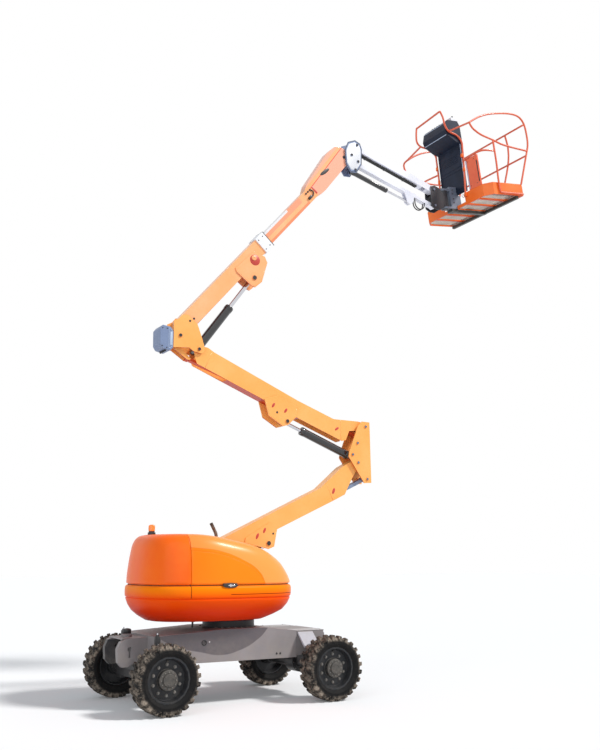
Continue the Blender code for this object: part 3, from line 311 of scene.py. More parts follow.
def tyre_finish():
    """Rubber whose dust depends on how far a point is from the hub, so it turns with the wheel."""
    made, tree, shader = shader_of("dusty_rubber", 0.86)
    shader.inputs["Specular IOR Level"].default_value = 0.2
    spot = set_node(tree, "ShaderNodeTexCoord").outputs["Object"]
    split = set_node(tree, "ShaderNodeSeparateXYZ")
    joined(tree, spot, split.inputs[0])
    flat = set_node(tree, "ShaderNodeCombineXYZ")
    joined(tree, split.outputs[0], flat.inputs[0])
    joined(tree, split.outputs[1], flat.inputs[1])
    length = set_node(tree, "ShaderNodeVectorMath", {"operation": "LENGTH"})
    joined(tree, flat.outputs[0], length.inputs[0])
    shoulder = stepped(tree, length.outputs["Value"], 0.372, 0.412)
    crown = stepped(tree, length.outputs["Value"], 0.452, 0.461)
    broad = cloud(tree, spot, 9.0, 5.0, 0.7)
    fine = cloud(tree, spot, 70.0, 4.0, 0.7)
    noise = sum_of(tree, times(tree, broad, 0.8), "ADD", times(tree, fine, 0.4))
    broken = stepped(tree, noise, 0.50, 0.74)
    worn = sum_of(tree, 1.0, "SUBTRACT", times(tree, crown, 0.35))
    clay = times(tree, times(tree, shoulder, broken), worn)
    haze = sum_of(tree, times(tree, broken, 0.02), "ADD", times(tree, clay, 0.80), True)
    joined(tree, blended(tree, haze, RUBBER_TONE, CLAY_TONE), shader.inputs["Base Color"])
    joined(tree, sum_of(tree, times(tree, clay, 0.14), "ADD", 0.80), shader.inputs["Roughness"])
    bumped(tree, shader, sum_of(tree, fine, "ADD", times(tree, clay, 0.8)), 0.5, 0.002)
    return made


def lathe(body, profile, steps, place):
    """Turns (radius, height) round its own Z axis into the mesh."""
    rows = []
    for radius, height in profile:
        if radius < 1e-6:
            rows.append([body.verts.new(place @ Vector((0.0, 0.0, height)))])
            continue
        rows.append([
            body.verts.new(place @ Vector((radius * math.cos(2 * math.pi * step / steps),
                                           radius * math.sin(2 * math.pi * step / steps), height)))
            for step in range(steps)])
    for low, high in zip(rows, rows[1:]):
        for step in range(steps):
            after = (step + 1) % steps
            corners = list(dict.fromkeys((low[step % len(low)], low[after % len(low)],
                                          high[after % len(high)], high[step % len(high)])))
            if len(corners) > 2:
                body.faces.new(corners)
    return rows


def piece(name, body, mesh, finish, smooth_angle=40.0, weld=0.00005):
    """The finished mesh as a named piece that moves with its body."""
    if weld:
        bmesh.ops.remove_doubles(mesh, verts=mesh.verts, dist=weld)
    bmesh.ops.recalc_face_normals(mesh, faces=mesh.faces)
    limit = math.radians(smooth_angle)
    for face in mesh.faces:
        face.smooth = True
    for edge in mesh.edges:
        edge.smooth = len(edge.link_faces) == 2 and edge.calc_face_angle(0.0) < limit
    data = bpy.data.meshes.new(name)
    mesh.to_mesh(data)
    mesh.free()
    made = bpy.data.objects.new(name, data)
    scene.collection.objects.link(made)
    data.materials.append(finish)
    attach(made, body)
    return made


def lug_block(mesh, angle, side, twist):
    """One lug: from past the middle line out over the shoulder and a little down the side wall."""
    rows = [
        # distance from the middle, foot radius, top radius, half length along the tread
        (-0.012, 0.428, TREAD - 0.003, 0.0215), (0.010, 0.428, TREAD, 0.0235), (0.060, 0.428, TREAD, 0.0245),
        (0.110, 0.424, TREAD - 0.001, 0.0265), (0.146, 0.408, TREAD - 0.006, 0.0285),
        (0.1645, 0.392, 0.444, 0.0285), (0.1675, 0.378, 0.418, 0.0265), (0.1665, 0.366, 0.392, 0.0235),
    ]
    sections = []
    for across, foot, top, half in rows:
        lean = angle + side * twist * across / LUG_REACH
        section = []
        for radius, share in ((foot, -1.16), (top - LUG_ROUND, -1.0), (top, -0.78), (top, 0.78),
                              (top - LUG_ROUND, 1.0), (foot, 1.16)):
            turn = lean + share * half / TREAD
            section.append(mesh.verts.new((radius * math.cos(turn), radius * math.sin(turn), side * across)))
        sections.append(section)
    for low, high in zip(sections, sections[1:]):
        for at in range(5):
            mesh.faces.new((low[at], low[at + 1], high[at + 1], high[at]))
    mesh.faces.new(sections[0])
    mesh.faces.new(sections[-1])


def tyre_mesh():
    mesh = bmesh.new()
    profile = [(radius, high) for radius, high in reversed(CARCASS)]
    profile = [(radius, -high) for radius, high in profile] + [(radius, high) for radius, high in CARCASS[1:]]
    rows = lathe(mesh, profile, CARCASS_STEPS, Matrix.Identity(4))
    for step in range(CARCASS_STEPS):
        after = (step + 1) % CARCASS_STEPS
        mesh.faces.new((rows[0][step], rows[0][after], rows[-1][after], rows[-1][step]))
    pitch = 2 * math.pi / LUG_COUNT
    for lug in range(LUG_COUNT):
        lug_block(mesh, lug * pitch, 1, LUG_LEAN)
        lug_block(mesh, (lug + 0.5) * pitch, -1, LUG_LEAN)
    # Small moulded ribs round each side wall, near the bead
    for side in (-1, 1):
        for step in range(RIB_COUNT):
            turn = 2 * math.pi * step / RIB_COUNT
            verts = []
            for shift in (-RIB_HALF, RIB_HALF):
                for radius, high in RIB:
                    spread = turn + shift / radius
                    verts.append(mesh.verts.new((radius * math.cos(spread), radius * math.sin(spread),
                                                 side * high)))
            for at in range(3):
                mesh.faces.new((verts[at], verts[at + 1], verts[at + 5], verts[at + 4]))
    return mesh


RUBBER = tyre_finish()


def wheel_place(x, side):
    return Matrix.Translation((x, side * WHEEL_SIDE, HUB_HIGH)) @ Matrix.Rotation(-side * math.pi / 2, 4, "X")


for wheel, x, side, rides in WHEELS:
    mesh = tyre_mesh()
    made = piece("lugged_tyre_" + wheel, rides, mesh, RUBBER, 33.0)
    made.parent = None
    made.matrix_world = wheel_place(x, side)
    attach(made, rides)
    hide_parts("tyre_" + wheel)


# Rims and hubs.
# Pressed steel rims painted near black, with a deep dish, a ring of wheel nuts and the cast
# planetary hub standing in the middle with its own cover bolts. Grey dust lies in the dish.

RIM_TONE = (0.009, 0.011, 0.015)
HUB_TONE = (0.050, 0.047, 0.044)
GREY_DUST = (0.30, 0.26, 0.21)
NUT_RING = 0.196
NUT_COUNT = 10
HUB_BOLT_RING = 0.104
HUB_BOLT_COUNT = 12


def build_wear_group():
    """Rubbed edges: a mask where a rounded normal leaves the true one, broken up by noise."""
    group, given, result = new_group(
        "rubbed_edges",
        [("Width", "Float", 0.006), ("Amount", "Float", 0.6), ("Scale", "Float", 24.0)],
        [("Mask", "Float")])
    rounded = set_node(group, "ShaderNodeBevel", {"samples": 4})
    joined(group, given.outputs["Width"], rounded.inputs["Radius"])
    true = set_node(group, "ShaderNodeNewGeometry")
    dot = set_node(group, "ShaderNodeVectorMath", {"operation": "DOT_PRODUCT"})
    joined(group, rounded.outputs[0], dot.inputs[0])
    joined(group, true.outputs["Normal"], dot.inputs[1])
    edge = sum_of(group, 1.0, "SUBTRACT", dot.outputs["Value"], True)
    spot = set_node(group, "ShaderNodeTexCoord").outputs["Object"]
    broken = set_node(group, "ShaderNodeTexNoise", (), {"Detail": 5.0, "Roughness": 0.7})
    joined(group, spot, broken.inputs["Vector"])
    joined(group, given.outputs["Scale"], broken.inputs["Scale"])
    strong = times(group, stepped(group, edge, 0.02, 0.22), stepped(group, broken.outputs[0], 0.40, 0.62))
    joined(group, sum_of(group, strong, "MULTIPLY", given.outputs["Amount"], True), result.inputs["Mask"])
    return group


WEAR = build_wear_group()


def paint_finish(name, tone, roughness, faded=None, worn=None, wear=0.5, dust=0.3, dust_tone=GREY_DUST,
                 metallic=0.0, coat=0.0, peel=0.12, low=0.2, high=1.4, shade=None, dust_scale=6.0,
                 relief=None, shine=0.5):
    """A sprayed finish: uneven fading, rubbed edges, settled dust and a fine orange-peel surface.
    shade, where given, draws the colour in place of the tone; relief draws raised lines in metres."""
    made, tree, shader = shader_of(name, roughness, metallic, coat)
    shader.inputs["Specular IOR Level"].default_value = shine
    spot = set_node(tree, "ShaderNodeTexCoord").outputs["Object"]
    faded = faded or tuple(min(1.0, channel * 1.12 + 0.01) for channel in tone)
    worn = worn or tuple(channel * 0.35 + 0.02 for channel in tone)
    base = shade(tree, spot) if shade else blended(
        tree, stepped(tree, cloud(tree, spot, 1.7, 6.0, 0.62), 0.30, 0.72), tone, faded)
    rubbed = placed(tree, WEAR, {"Amount": wear})
    dirty = placed(tree, DUST, {"Amount": dust, "Low": low, "High": high, "Scale": dust_scale})
    colour = blended(tree, rubbed.outputs["Mask"], base, worn)
    colour = blended(tree, dirty.outputs["Mask"], colour, dust_tone)
    joined(tree, colour, shader.inputs["Base Color"])
    rough = sum_of(tree, times(tree, dirty.outputs["Mask"], 0.35), "ADD", roughness, True)
    joined(tree, rough, shader.inputs["Roughness"])
    bumped(tree, shader, cloud(tree, spot, 210.0, 2.0), peel, 0.0006)
    if relief:
        raised = set_node(tree, "ShaderNodeBump", (), {"Strength": 1.0, "Distance": 1.0})
        joined(tree, relief(tree, spot), raised.inputs["Height"])
        joined(tree, raised.outputs[0], shader.inputs["Normal"].links[0].from_node.inputs["Normal"])
    return made


RIM_PAINT = paint_finish("rim_paint", RIM_TONE, 0.42, wear=0.2, dust=0.10, shine=0.3, metallic=0.1,
                         peel=0.2, dust_scale=14.0)
HUB_CAST = paint_finish("hub_casting", HUB_TONE, 0.55, wear=0.4, dust=0.22, metallic=0.3, peel=0.6,
                        dust_scale=20.0)
STEEL_NUT = paint_finish("wheel_nut_steel", (0.16, 0.155, 0.15), 0.40, wear=0.7, worn=(0.35, 0.34, 0.33),
                         dust=0.5, metallic=0.75, peel=0.1)


def build_normals_group():
    """Drops the flat imported normals and marks the sharp edges."""
    group = bpy.data.node_groups.new("clean_corners", "GeometryNodeTree")
    group.interface.new_socket("Geometry", in_out="INPUT", socket_type="NodeSocketGeometry")
    group.interface.new_socket("Geometry", in_out="OUTPUT", socket_type="NodeSocketGeometry")
    given, result = group.nodes.new("NodeGroupInput"), group.nodes.new("NodeGroupOutput")
    plain = group.nodes.new("GeometryNodeSetMeshNormal")
    plain.mode = "SHARPNESS"
    plain.inputs["Remove Custom"].default_value = True
    angle = group.nodes.new("GeometryNodeInputMeshEdgeAngle")
    sharp = group.nodes.new("FunctionNodeCompare")
    sharp.data_type, sharp.operation = "FLOAT", "GREATER_THAN"
    sharp.inputs[1].default_value = math.radians(38.0)
    group.links.new(given.outputs[0], plain.inputs["Mesh"])
    group.links.new(angle.outputs["Unsigned Angle"], sharp.inputs[0])
    group.links.new(sharp.outputs[0], plain.inputs["Edge Sharpness"])
    group.links.new(plain.outputs[0], result.inputs[0])
    return group


CLEAN = build_normals_group()


def dressed(node, finish, width=0.0025):
    """Gives a CAD node its finish and eased edges, leaving its mesh as it is."""
    shown = frame["nodes"][node]
    for slot in shown.material_slots:
        slot.material = finish
    joint = shown.modifiers.new("weld", "WELD")
    joint.merge_threshold = 0.00003
    flat = shown.modifiers.new("plane", "DECIMATE")
    flat.decimate_type = "DISSOLVE"
    flat.angle_limit = math.radians(0.6)
    if width:
        eased = shown.modifiers.new("ease", "BEVEL")
        eased.width = width
        eased.segments = 2
        eased.limit_method = "ANGLE"
        eased.angle_limit = math.radians(32.0)
        eased.use_clamp_overlap = True
    normals = shown.modifiers.new("corners", "NODES")
    normals.node_group = CLEAN
    if width:
        weighted = shown.modifiers.new("weight", "WEIGHTED_NORMAL")
        weighted.keep_sharp = True


def hexagon(mesh, centre, axis_place, across, high, washer=0.0):
    """A bolt head: six sides with a turned chamfer, on a washer."""
    place = Matrix.Translation(centre) @ axis_place
    if washer:
        lathe(mesh, [(0.0, 0.0), (washer, 0.0), (washer, high * 0.22), (0.0, high * 0.22)], 20, place)
    radius = across / math.sqrt(3)
    lathe(mesh, [(0.0, 0.0), (radius, 0.0), (radius, high * 0.85), (radius * 0.86, high), (0.0, high)],
          6, place)


for wheel, x, side, rides in WHEELS:
    dressed("rim_" + wheel, RIM_PAINT, 0.003)
    place = wheel_place(x, side)
    mesh = bmesh.new()
    for step in range(NUT_COUNT):
        turn = 2 * math.pi * (step + 0.5) / NUT_COUNT
        spot = place @ Vector((NUT_RING * math.cos(turn), NUT_RING * math.sin(turn), 0.0447))
        hexagon(mesh, spot, place.to_3x3().to_4x4(), 0.030, 0.020, 0.022)
    for step in range(HUB_BOLT_COUNT):
        turn = 2 * math.pi * step / HUB_BOLT_COUNT
        spot = place @ Vector((HUB_BOLT_RING * math.cos(turn), HUB_BOLT_RING * math.sin(turn), 0.121))
        hexagon(mesh, spot, place.to_3x3().to_4x4(), 0.016, 0.010)
    piece("wheel_nuts_" + wheel, rides, mesh, STEEL_NUT, 30.0)
    mesh = bmesh.new()
    lathe(mesh, [(0.142, 0.0455), (0.142, 0.053), (0.134, 0.060), (0.1315, 0.092), (0.1305, 0.1185),
                 (0.126, 0.1215), (0.118, 0.1225), (0.087, 0.1255), (0.0835, 0.144), (0.078, 0.1485),
                 (0.050, 0.150), (0.046, 0.147), (0.0, 0.147)], 48, place)
    for turn in (0.4, 2.5, 4.6):
        spot = Vector((0.062 * math.cos(turn), 0.062 * math.sin(turn), 0.149))
        lathe(mesh, [(0.0, 0.0), (0.010, 0.0), (0.010, 0.004), (0.007, 0.006), (0.0, 0.006)], 12,
              place @ Matrix.Translation(spot))
    piece("hub_cover_" + wheel, rides, mesh, HUB_CAST, 34.0)
    mesh = bmesh.new()
    valve = place @ Matrix.Translation((0.0, 0.246, 0.046)) @ Matrix.Rotation(0.35, 4, "X")
    lathe(mesh, [(0.0, 0.0), (0.008, 0.0), (0.006, 0.012), (0.0045, 0.03), (0.006, 0.031),
                 (0.006, 0.042), (0.0, 0.043)], 10, valve)
    piece("tyre_valve_" + wheel, rides, mesh, RUBBER, 30.0)


# Turret bowl, belt and counterweight.
# The turning body is moulded orange plastic over a steel deck. A bowl, drawn darker and redder towards its
# foot as painted shade where it turns under, runs up to a crease, a bulging belt stands above it, and a
# lined groove parts the belt from the cover that lifts off.

SPLIT = 1.6603
SEAM = -0.92
SLOT_SIDE = 0.205
CREASE = 1.472
BELT_LINE = 1.532
SKIN_STEPS = 176
SKIN_POWER = 0.72
LOW_ROWS = [
    # height, left end, right end, half width
    (1.1515, -1.165, 0.555, 0.595), (1.175, -1.205, 0.612, 0.650), (1.220, -1.275, 0.715, 0.745),
    (1.290, -1.352, 0.843, 0.855), (1.370, -1.400, 0.906, 0.923), (1.440, -1.424, 0.937, 0.963),
    (1.462, -1.430, 0.943, 0.971), (1.469, -1.427, 0.941, 0.969), (1.473, -1.419, 0.933, 0.961),
    (1.479, -1.419, 0.933, 0.961), (1.484, -1.431, 0.946, 0.975), (1.492, -1.437, 0.953, 0.981),
    (1.520, -1.440, 0.957, 0.984), (1.560, -1.441, 0.960, 0.985), (1.600, -1.440, 0.960, 0.985),
    (1.622, -1.437, 0.957, 0.982), (1.636, -1.430, 0.950, 0.975), (1.645, -1.419, 0.939, 0.964),
    (1.649, -1.408, 0.928, 0.953), (1.652, -1.398, 0.918, 0.943), (1.6595, -1.396, 0.916, 0.941),
]
FOOT_ROWS = [
    (1.6604, -1.396, 0.916, 0.941), (1.667, -1.398, 0.918, 0.943), (1.670, -1.410, 0.930, 0.955),
    (1.675, -1.420, 0.940, 0.965), (1.684, -1.425, 0.945, 0.970),
]
SHARE_ROWS = [
    # share of the way up to the top line, left end, right end, half width
    (0.00, -1.425, 0.945, 0.970), (0.20, -1.418, 0.935, 0.964), (0.45, -1.400, 0.912, 0.950),
    (0.66, -1.380, 0.880, 0.925), (0.80, -1.362, 0.845, 0.896), (0.90, -1.335, 0.805, 0.858),
    (0.955, -1.305, 0.765, 0.815), (0.985, -1.275, 0.732, 0.775), (1.000, -1.240, 0.700, 0.730),
]
TOP_LINE = [
    (-1.45, 2.340), (-1.15, 2.364), (-0.75, 2.364), (-0.50, 2.338), (-0.20, 2.285), (0.06, 2.232),
    (0.33, 2.148), (0.62, 2.010), (0.80, 1.880), (1.00, 1.750),
]
CROWN = [(0.92, 0.0012), (0.75, 0.0035), (0.50, 0.0055), (0.25, 0.0065)]
HOOD_TONE = (0.97, 0.225, 0.003)
WEIGHT_TONE = (0.96, 0.125, 0.004)
# Deep red of the bowl's foot, darkened as painted shade where it turns under
BOWL_SHADED_TONE = (0.76, 0.030, 0.001)


def eased_row(table, place):
    """A row of the table at a fractional place, along a smooth curve through its rows."""
    at = min(int(place), len(table) - 2)
    share = place - at
    before, here = table[max(at - 1, 0)], table[at]
    after, beyond = table[at + 1], table[min(at + 2, len(table) - 1)]
    return tuple(0.5 * (2 * b + (c - a) * share + (2 * a - 5 * b + 4 * c - d) * share ** 2
                        + (3 * b - a - 3 * c + d) * share ** 3)
                 for a, b, c, d in zip(before, here, after, beyond))


def eased_top(x):
    for at, ((x_0, _), (x_1, _)) in enumerate(zip(TOP_LINE, TOP_LINE[1:])):
        if x <= x_1:
            return eased_row([(z,) for _, z in TOP_LINE], at + max(0.0, (x - x_0) / (x_1 - x_0)))[0]
    return TOP_LINE[-1][1]


def skin_ring(mesh, left, right, half, height, inset=0.0, squeeze=1.0):
    """A closed ring of points round the moulding; height says how high it stands at each x."""
    ring = []
    middle, reach = (left + right) / 2, (right - left) / 2 - inset
    for step in range(SKIN_STEPS):
        turn = 2 * math.pi * step / SKIN_STEPS
        cosine, sine = math.cos(turn), math.sin(turn)
        x = middle + reach * math.copysign(abs(cosine) ** SKIN_POWER, cosine)
        y = squeeze * (half - inset) * math.copysign(abs(sine) ** SKIN_POWER, sine)
        ring.append(mesh.verts.new((x, y, height(x))))
    return ring


def skin_side(x, left, right, half):
    """How far out the ring lies at x."""
    middle, reach = (left + right) / 2, (right - left) / 2
    cosine = min(1.0, abs(x - middle) / reach) ** (1 / SKIN_POWER)
    return half * math.sqrt(1.0 - cosine * cosine) ** SKIN_POWER


def skin_body(rings):
    """A closed body through the rings, its last ring closed straight across."""
    mesh, rows = rings
    for lower, upper in zip(rows, rows[1:]):
        for at in range(SKIN_STEPS):
            after = (at + 1) % SKIN_STEPS
            mesh.faces.new((lower[at], lower[after], upper[after], upper[at]))
    mesh.faces.new(rows[0])
    half = SKIN_STEPS // 2
    for at in range(half):
        quad = (at, at + 1, SKIN_STEPS - at - 1, (SKIN_STEPS - at) % SKIN_STEPS)
        corners = [rows[-1][corner] for corner in dict.fromkeys(quad)]
        mesh.faces.new(corners)
    data = bpy.data.meshes.new("skin")
    bmesh.ops.recalc_face_normals(mesh, faces=mesh.faces)
    mesh.to_mesh(data)
    mesh.free()
    return data


def cover_body(inset=0.0, foot=None):
    """The whole lift-off cover as one solid, or its inside where an inset is given."""
    mesh = bmesh.new()
    rows = []
    if foot is not None:
        rows.append(skin_ring(mesh, *FOOT_ROWS[-1][1:], lambda x: foot, inset))
    else:
        for height, left, right, half in FOOT_ROWS[:-1]:
            rows.append(skin_ring(mesh, left, right, half, lambda x, z=height: z, inset))
    base = FOOT_ROWS[-1][0]
    for step in range(4 * (len(SHARE_ROWS) - 1) + 1):
        share, left, right, half = eased_row(SHARE_ROWS, step / 4)
        rows.append(skin_ring(mesh, left, right, half,
                              lambda x, s=share: base + s * (eased_top(x) - inset - base), inset))
    for squeeze, lift in CROWN:
        rows.append(skin_ring(mesh, *SHARE_ROWS[-1][1:],
                              lambda x, up=lift: eased_top(x) - inset + up, inset, squeeze))
    return skin_body((mesh, rows))


def brick(x_0, x_1, y_0, y_1, z_0, z_1):
    """A plain block between these planes, as mesh data."""
    mesh = bmesh.new()
    bmesh.ops.create_cube(mesh, size=1.0)
    for vert in mesh.verts:
        vert.co = ((x_0 + x_1) / 2 + vert.co.x * (x_1 - x_0), (y_0 + y_1) / 2 + vert.co.y * (y_1 - y_0),
                   (z_0 + z_1) / 2 + vert.co.z * (z_1 - z_0))
    data = bpy.data.meshes.new("brick")
    mesh.to_mesh(data)
    mesh.free()
    return data


def carved(solid, cutters):
    """The solid less every cutter."""
    shown = bpy.data.objects.new("carving", solid)
    scene.collection.objects.link(shown)
    tools = []
    for data in cutters:
        tool = bpy.data.objects.new("tool", data)
        scene.collection.objects.link(tool)
        step = shown.modifiers.new("cut", "BOOLEAN")
        step.operation, step.solver, step.object = "DIFFERENCE", "EXACT", tool
        tools.append(tool)
    bpy.context.view_layer.update()
    graph = bpy.context.evaluated_depsgraph_get()
    mesh = bmesh.new()
    mesh.from_mesh(shown.evaluated_get(graph).to_mesh())
    for thing in [shown, *tools]:
        bpy.data.objects.remove(thing, do_unlink=True)
    return mesh


def rounded_at(mesh, direction, place, reach=0.012, deep=0.007):
    """Rolls the skin inward over the last few millimetres before a cut."""
    direction = Vector(direction)
    for share in (0.25, 0.55, 1.0):
        bmesh.ops.bisect_plane(mesh, geom=mesh.verts[:] + mesh.edges[:] + mesh.faces[:], dist=0.00002,
                               plane_co=direction * (place + reach * share), plane_no=direction)
    mesh.normal_update()
    for vert in mesh.verts:
        near = (vert.co.dot(direction) - place) / reach
        skin = [face.normal for face in vert.link_faces if abs(face.normal.dot(direction)) < 0.85]
        if -0.01 <= near < 1.0 and skin:
            out = sum(skin, Vector()).normalized()
            vert.co -= out * deep * (1.0 - math.sqrt(max(0.0, 1.0 - (1.0 - max(near, 0.0)) ** 2)))


def spotted(tree, spot, axis):
    """The x, y or z of a point or a direction."""
    split = set_node(tree, "ShaderNodeSeparateXYZ")
    joined(tree, spot, split.inputs[0])
    return split.outputs[axis]


def line_over(tree, spot, points, low, high):
    """How far a point stands above a drawn line of (x, z) points, in metres."""
    left, right = points[0][0], points[-1][0]
    reach = set_node(tree, "ShaderNodeMapRange", (), {"From Min": left, "From Max": right})
    joined(tree, spotted(tree, spot, 0), reach.inputs[0])
    drawn = set_node(tree, "ShaderNodeFloatCurve")
    curve = drawn.mapping.curves[0]
    knots = [((x - left) / (right - left), (z - low) / (high - low)) for x, z in points]
    curve.points[0].location, curve.points[1].location = knots[0], knots[-1]
    for knot in knots[1:-1]:
        curve.points.new(*knot)
    drawn.mapping.update()
    joined(tree, reach.outputs[0], drawn.inputs["Value"])
    line = sum_of(tree, times(tree, drawn.outputs[0], high - low), "ADD", low)
    return sum_of(tree, spotted(tree, spot, 2), "SUBTRACT", line)


def patches(tree, spot, scale, detail=5.0, roughness=0.6):
    """Broad soft patches, as old paint fades in."""
    return stepped(tree, cloud(tree, spot, scale, detail, roughness), 0.3, 0.75)


def bowl_shade(tree, spot):
    """Painted shade: deep red at the foot, lighter up to the crease; the belt above runs up to the hoods'
    orange.
    """
    z = spotted(tree, spot, 2)
    # Painted shade: darker and redder towards the foot, lighter towards the crease and up the belt
    bowl = blended(tree, patches(tree, spot, 1.4), BOWL_SHADED_TONE, (0.80, 0.040, 0.001))
    bowl = blended(tree, stepped(tree, z, 1.26, 1.46), bowl, (0.90, 0.082, 0.002))
    belt = blended(tree, stepped(tree, z, 1.46, 1.62), (0.92, 0.080, 0.002), HOOD_TONE)
    both = blended(tree, stepped(tree, z, CREASE - 0.010, CREASE + 0.010), bowl, belt)
    return blended(tree, belt_lines(tree, spot), both, (0.22, 0.012, 0.004))


def belt_lines(tree, spot):
    """The upright seam under the counterweight's edge and the fine groove along the belt's front part."""
    x, z = spotted(tree, spot, 0), spotted(tree, spot, 2)
    from_seam = sum_of(tree, sum_of(tree, x, "SUBTRACT", SEAM), "ABSOLUTE", 0.0)
    seam = times(tree, stepped(tree, from_seam, 0.005, 0.003), stepped(tree, z, 1.484, 1.488))
    from_line = sum_of(tree, sum_of(tree, z, "SUBTRACT", BELT_LINE), "ABSOLUTE", 0.0)
    line = times(tree, stepped(tree, from_line, 0.005, 0.003), stepped(tree, x, -0.36, -0.34))
    return sum_of(tree, seam, "MAXIMUM", line)


def belt_relief(tree, spot):
    """The belt's lines stand 6 mm deep."""
    return times(tree, belt_lines(tree, spot), -0.006)


BOWL_PAINT = paint_finish("bowl_orange", BOWL_SHADED_TONE, 0.34, wear=0.15, dust=0.05, peel=0.05,
                          low=1.1, high=1.5, shade=bowl_shade, relief=belt_relief, shine=0.05)
WEIGHT_PAINT = paint_finish("weight_orange", WEIGHT_TONE, 0.33, faded=(0.98, 0.160, 0.006), coat=0.06,
                            shine=0.16, wear=0.15, dust=0.08, peel=0.05, low=0.9, high=1.5)
RUBBER_SEAL = paint_finish("rubber_seal", (0.03, 0.028, 0.027), 0.75, wear=0.0, dust=0.4, peel=0.3)

mesh = bmesh.new()
rows = []
for at, (height, left, right, half) in enumerate(LOW_ROWS):
    rows.append(skin_ring(mesh, left, right, half, lambda x, z=height: z))
bowl = carved(skin_body((mesh, rows)), [brick(-0.72, 1.4, -SLOT_SIDE, SLOT_SIDE, 1.0, 2.6)])
made = piece("turret_bowl_moulding", "turret", bowl, BOWL_PAINT, 50.0, weld=0.00001)
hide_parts("turret_bowl")

weight = carved(cover_body(), [brick(SEAM, 1.5, -1.3, 1.3, 1.4, 2.6)])
rounded_at(weight, (-1, 0, 0), -SEAM)
made = piece("counterweight_casting", "turret", weight, WEIGHT_PAINT, 50.0, weld=0.00001)
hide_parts("counterweight")

# A black rubber strip lies in the groove all round, under the lip of the cover
mesh = bmesh.new()
strip = [skin_ring(mesh, left, right, half, lambda x, z=height: z) for height, left, right, half in (
    (1.6500, -1.4005, 0.9205, 0.9455), (1.6535, -1.4030, 0.9230, 0.9480),
    (1.6580, -1.4030, 0.9230, 0.9480), (1.6595, -1.3985, 0.9185, 0.9435))]
for lower, upper in zip(strip, strip[1:]):
    for at in range(SKIN_STEPS):
        after = (at + 1) % SKIN_STEPS
        if lower[at].co.x > 0.0 and abs(lower[at].co.y) < SLOT_SIDE + 0.03:
            continue
        mesh.faces.new((lower[at], lower[after], upper[after], upper[at]))
piece("groove_seal", "turret", mesh, RUBBER_SEAL, 60.0)


# Hoods.
# Two gloss orange covers, one each side of the mast, hinged along the top so that they lift to the
# side. Moulded skins 30 mm thick at the rim, with a raised arched panel and a rolled seam edge.

HOOD_EDGE = 0.213
HOOD_THICK = 0.030
HOOD_END = SEAM + 0.006
LATCH_X = -0.365
LOUVRE_X, LOUVRE_HIGH = -0.10, 1.760
TURN_AXIS = 0.10
ARCH = [(-0.90, 2.175), (-0.82, 2.17), (-0.50, 2.13), (-0.13, 2.00), (0.10, 1.86), (0.20, 1.72), (0.23, 1.60)]


def hood_shade(tree, spot):
    """Painted highlight above the arch; painted shade making it a little redder towards the counterweight."""
    seam = stepped(tree, spotted(tree, spot, 0), -0.30, -0.95)
    base = blended(tree, patches(tree, spot, 1.1), HOOD_TONE, (0.96, 0.235, 0.006))
    # Painted highlight: the shoulder above the arch is drawn lighter, as it turns up to the light.
    shoulder = stepped(tree, line_over(tree, spot, ARCH, 1.5, 2.3), -0.004, 0.004)
    base = blended(tree, times(tree, shoulder, 0.75), base, (0.97, 0.360, 0.090))
    # Painted shade: the hood is drawn redder towards the counterweight end, away from the lamp.
    return blended(tree, times(tree, seam, 0.25), base, WEIGHT_TONE)


def hood_relief(tree, spot):
    """The raised panel: 14 mm proud under the arch, with a fine second line inside it."""
    over = line_over(tree, spot, ARCH, 1.5, 2.3)
    step = stepped(tree, over, 0.006, -0.006)
    line = times(tree, stepped(tree, over, -0.052, -0.046), stepped(tree, over, -0.034, -0.040))
    return sum_of(tree, times(tree, step, 0.014), "SUBTRACT", times(tree, line, 0.003))


HOOD_PAINT = paint_finish("hood_orange", HOOD_TONE, 0.30, coat=0.08, wear=0.12, dust=0.06, shine=0.16,
                          peel=0.05, low=0.9, high=1.5, shade=hood_shade, relief=hood_relief)
BLACK_PLASTIC = paint_finish("black_plastic", (0.018, 0.018, 0.020), 0.45, wear=0.1, dust=0.2, peel=0.3,
                             low=0.3, high=1.2)
CHROME = paint_finish("bright_chrome", (0.62, 0.62, 0.65), 0.14, wear=0.0, dust=0.12, metallic=1.0,
                      peel=0.0, faded=(0.55, 0.55, 0.58))


FACING = {
    "+Y": Matrix.Rotation(-math.pi / 2, 4, "X"), "-Y": Matrix.Rotation(math.pi / 2, 4, "X"),
    "-Z": Matrix.Rotation(math.pi, 4, "X"),
    "+X": Matrix.Rotation(math.pi / 2, 4, "Y"), "-X": Matrix.Rotation(-math.pi / 2, 4, "Y"),
}


def outward(side):
    """Turns a piece's own Z out to the far side (1) or to the near side (-1)."""
    return FACING["+Y" if side > 0 else "-Y"]


def oval_slab(mesh, place, wide, high, thick, ease=0.003, steps=40):
    """A flat oval boss with an eased front edge, standing on the place's z = 0."""
    rows = []
    for height, inset in ((-0.012, 0.0), (thick - ease, 0.0), (thick - ease * 0.3, ease * 0.3),
                          (thick, ease)):
        rows.append([mesh.verts.new(place @ Vector((
            (wide - inset) * math.cos(2 * math.pi * step / steps),
            (high - inset) * math.sin(2 * math.pi * step / steps), height))) for step in range(steps)])
    for low, up in zip(rows, rows[1:]):
        for step in range(steps):
            after = (step + 1) % steps
            mesh.faces.new((low[step], low[after], up[after], up[step]))
    mesh.faces.new(rows[-1])
    mesh.faces.new(rows[0])


def block(mesh, x_0, x_1, y_0, y_1, z_0, z_1, ease=0.003, place=Matrix.Identity(4)):
    """A block with eased edges, added to the mesh."""
    part = bmesh.new()
    part.from_mesh(brick(x_0, x_1, y_0, y_1, z_0, z_1))
    if ease:
        bmesh.ops.bevel(part, geom=part.edges[:], offset=ease, segments=2, affect="EDGES", profile=0.5)
    bmesh.ops.transform(part, matrix=place, verts=part.verts)
    data = bpy.data.meshes.new("block")
    part.to_mesh(data)
    part.free()
    mesh.from_mesh(data)
    bpy.data.meshes.remove(data)


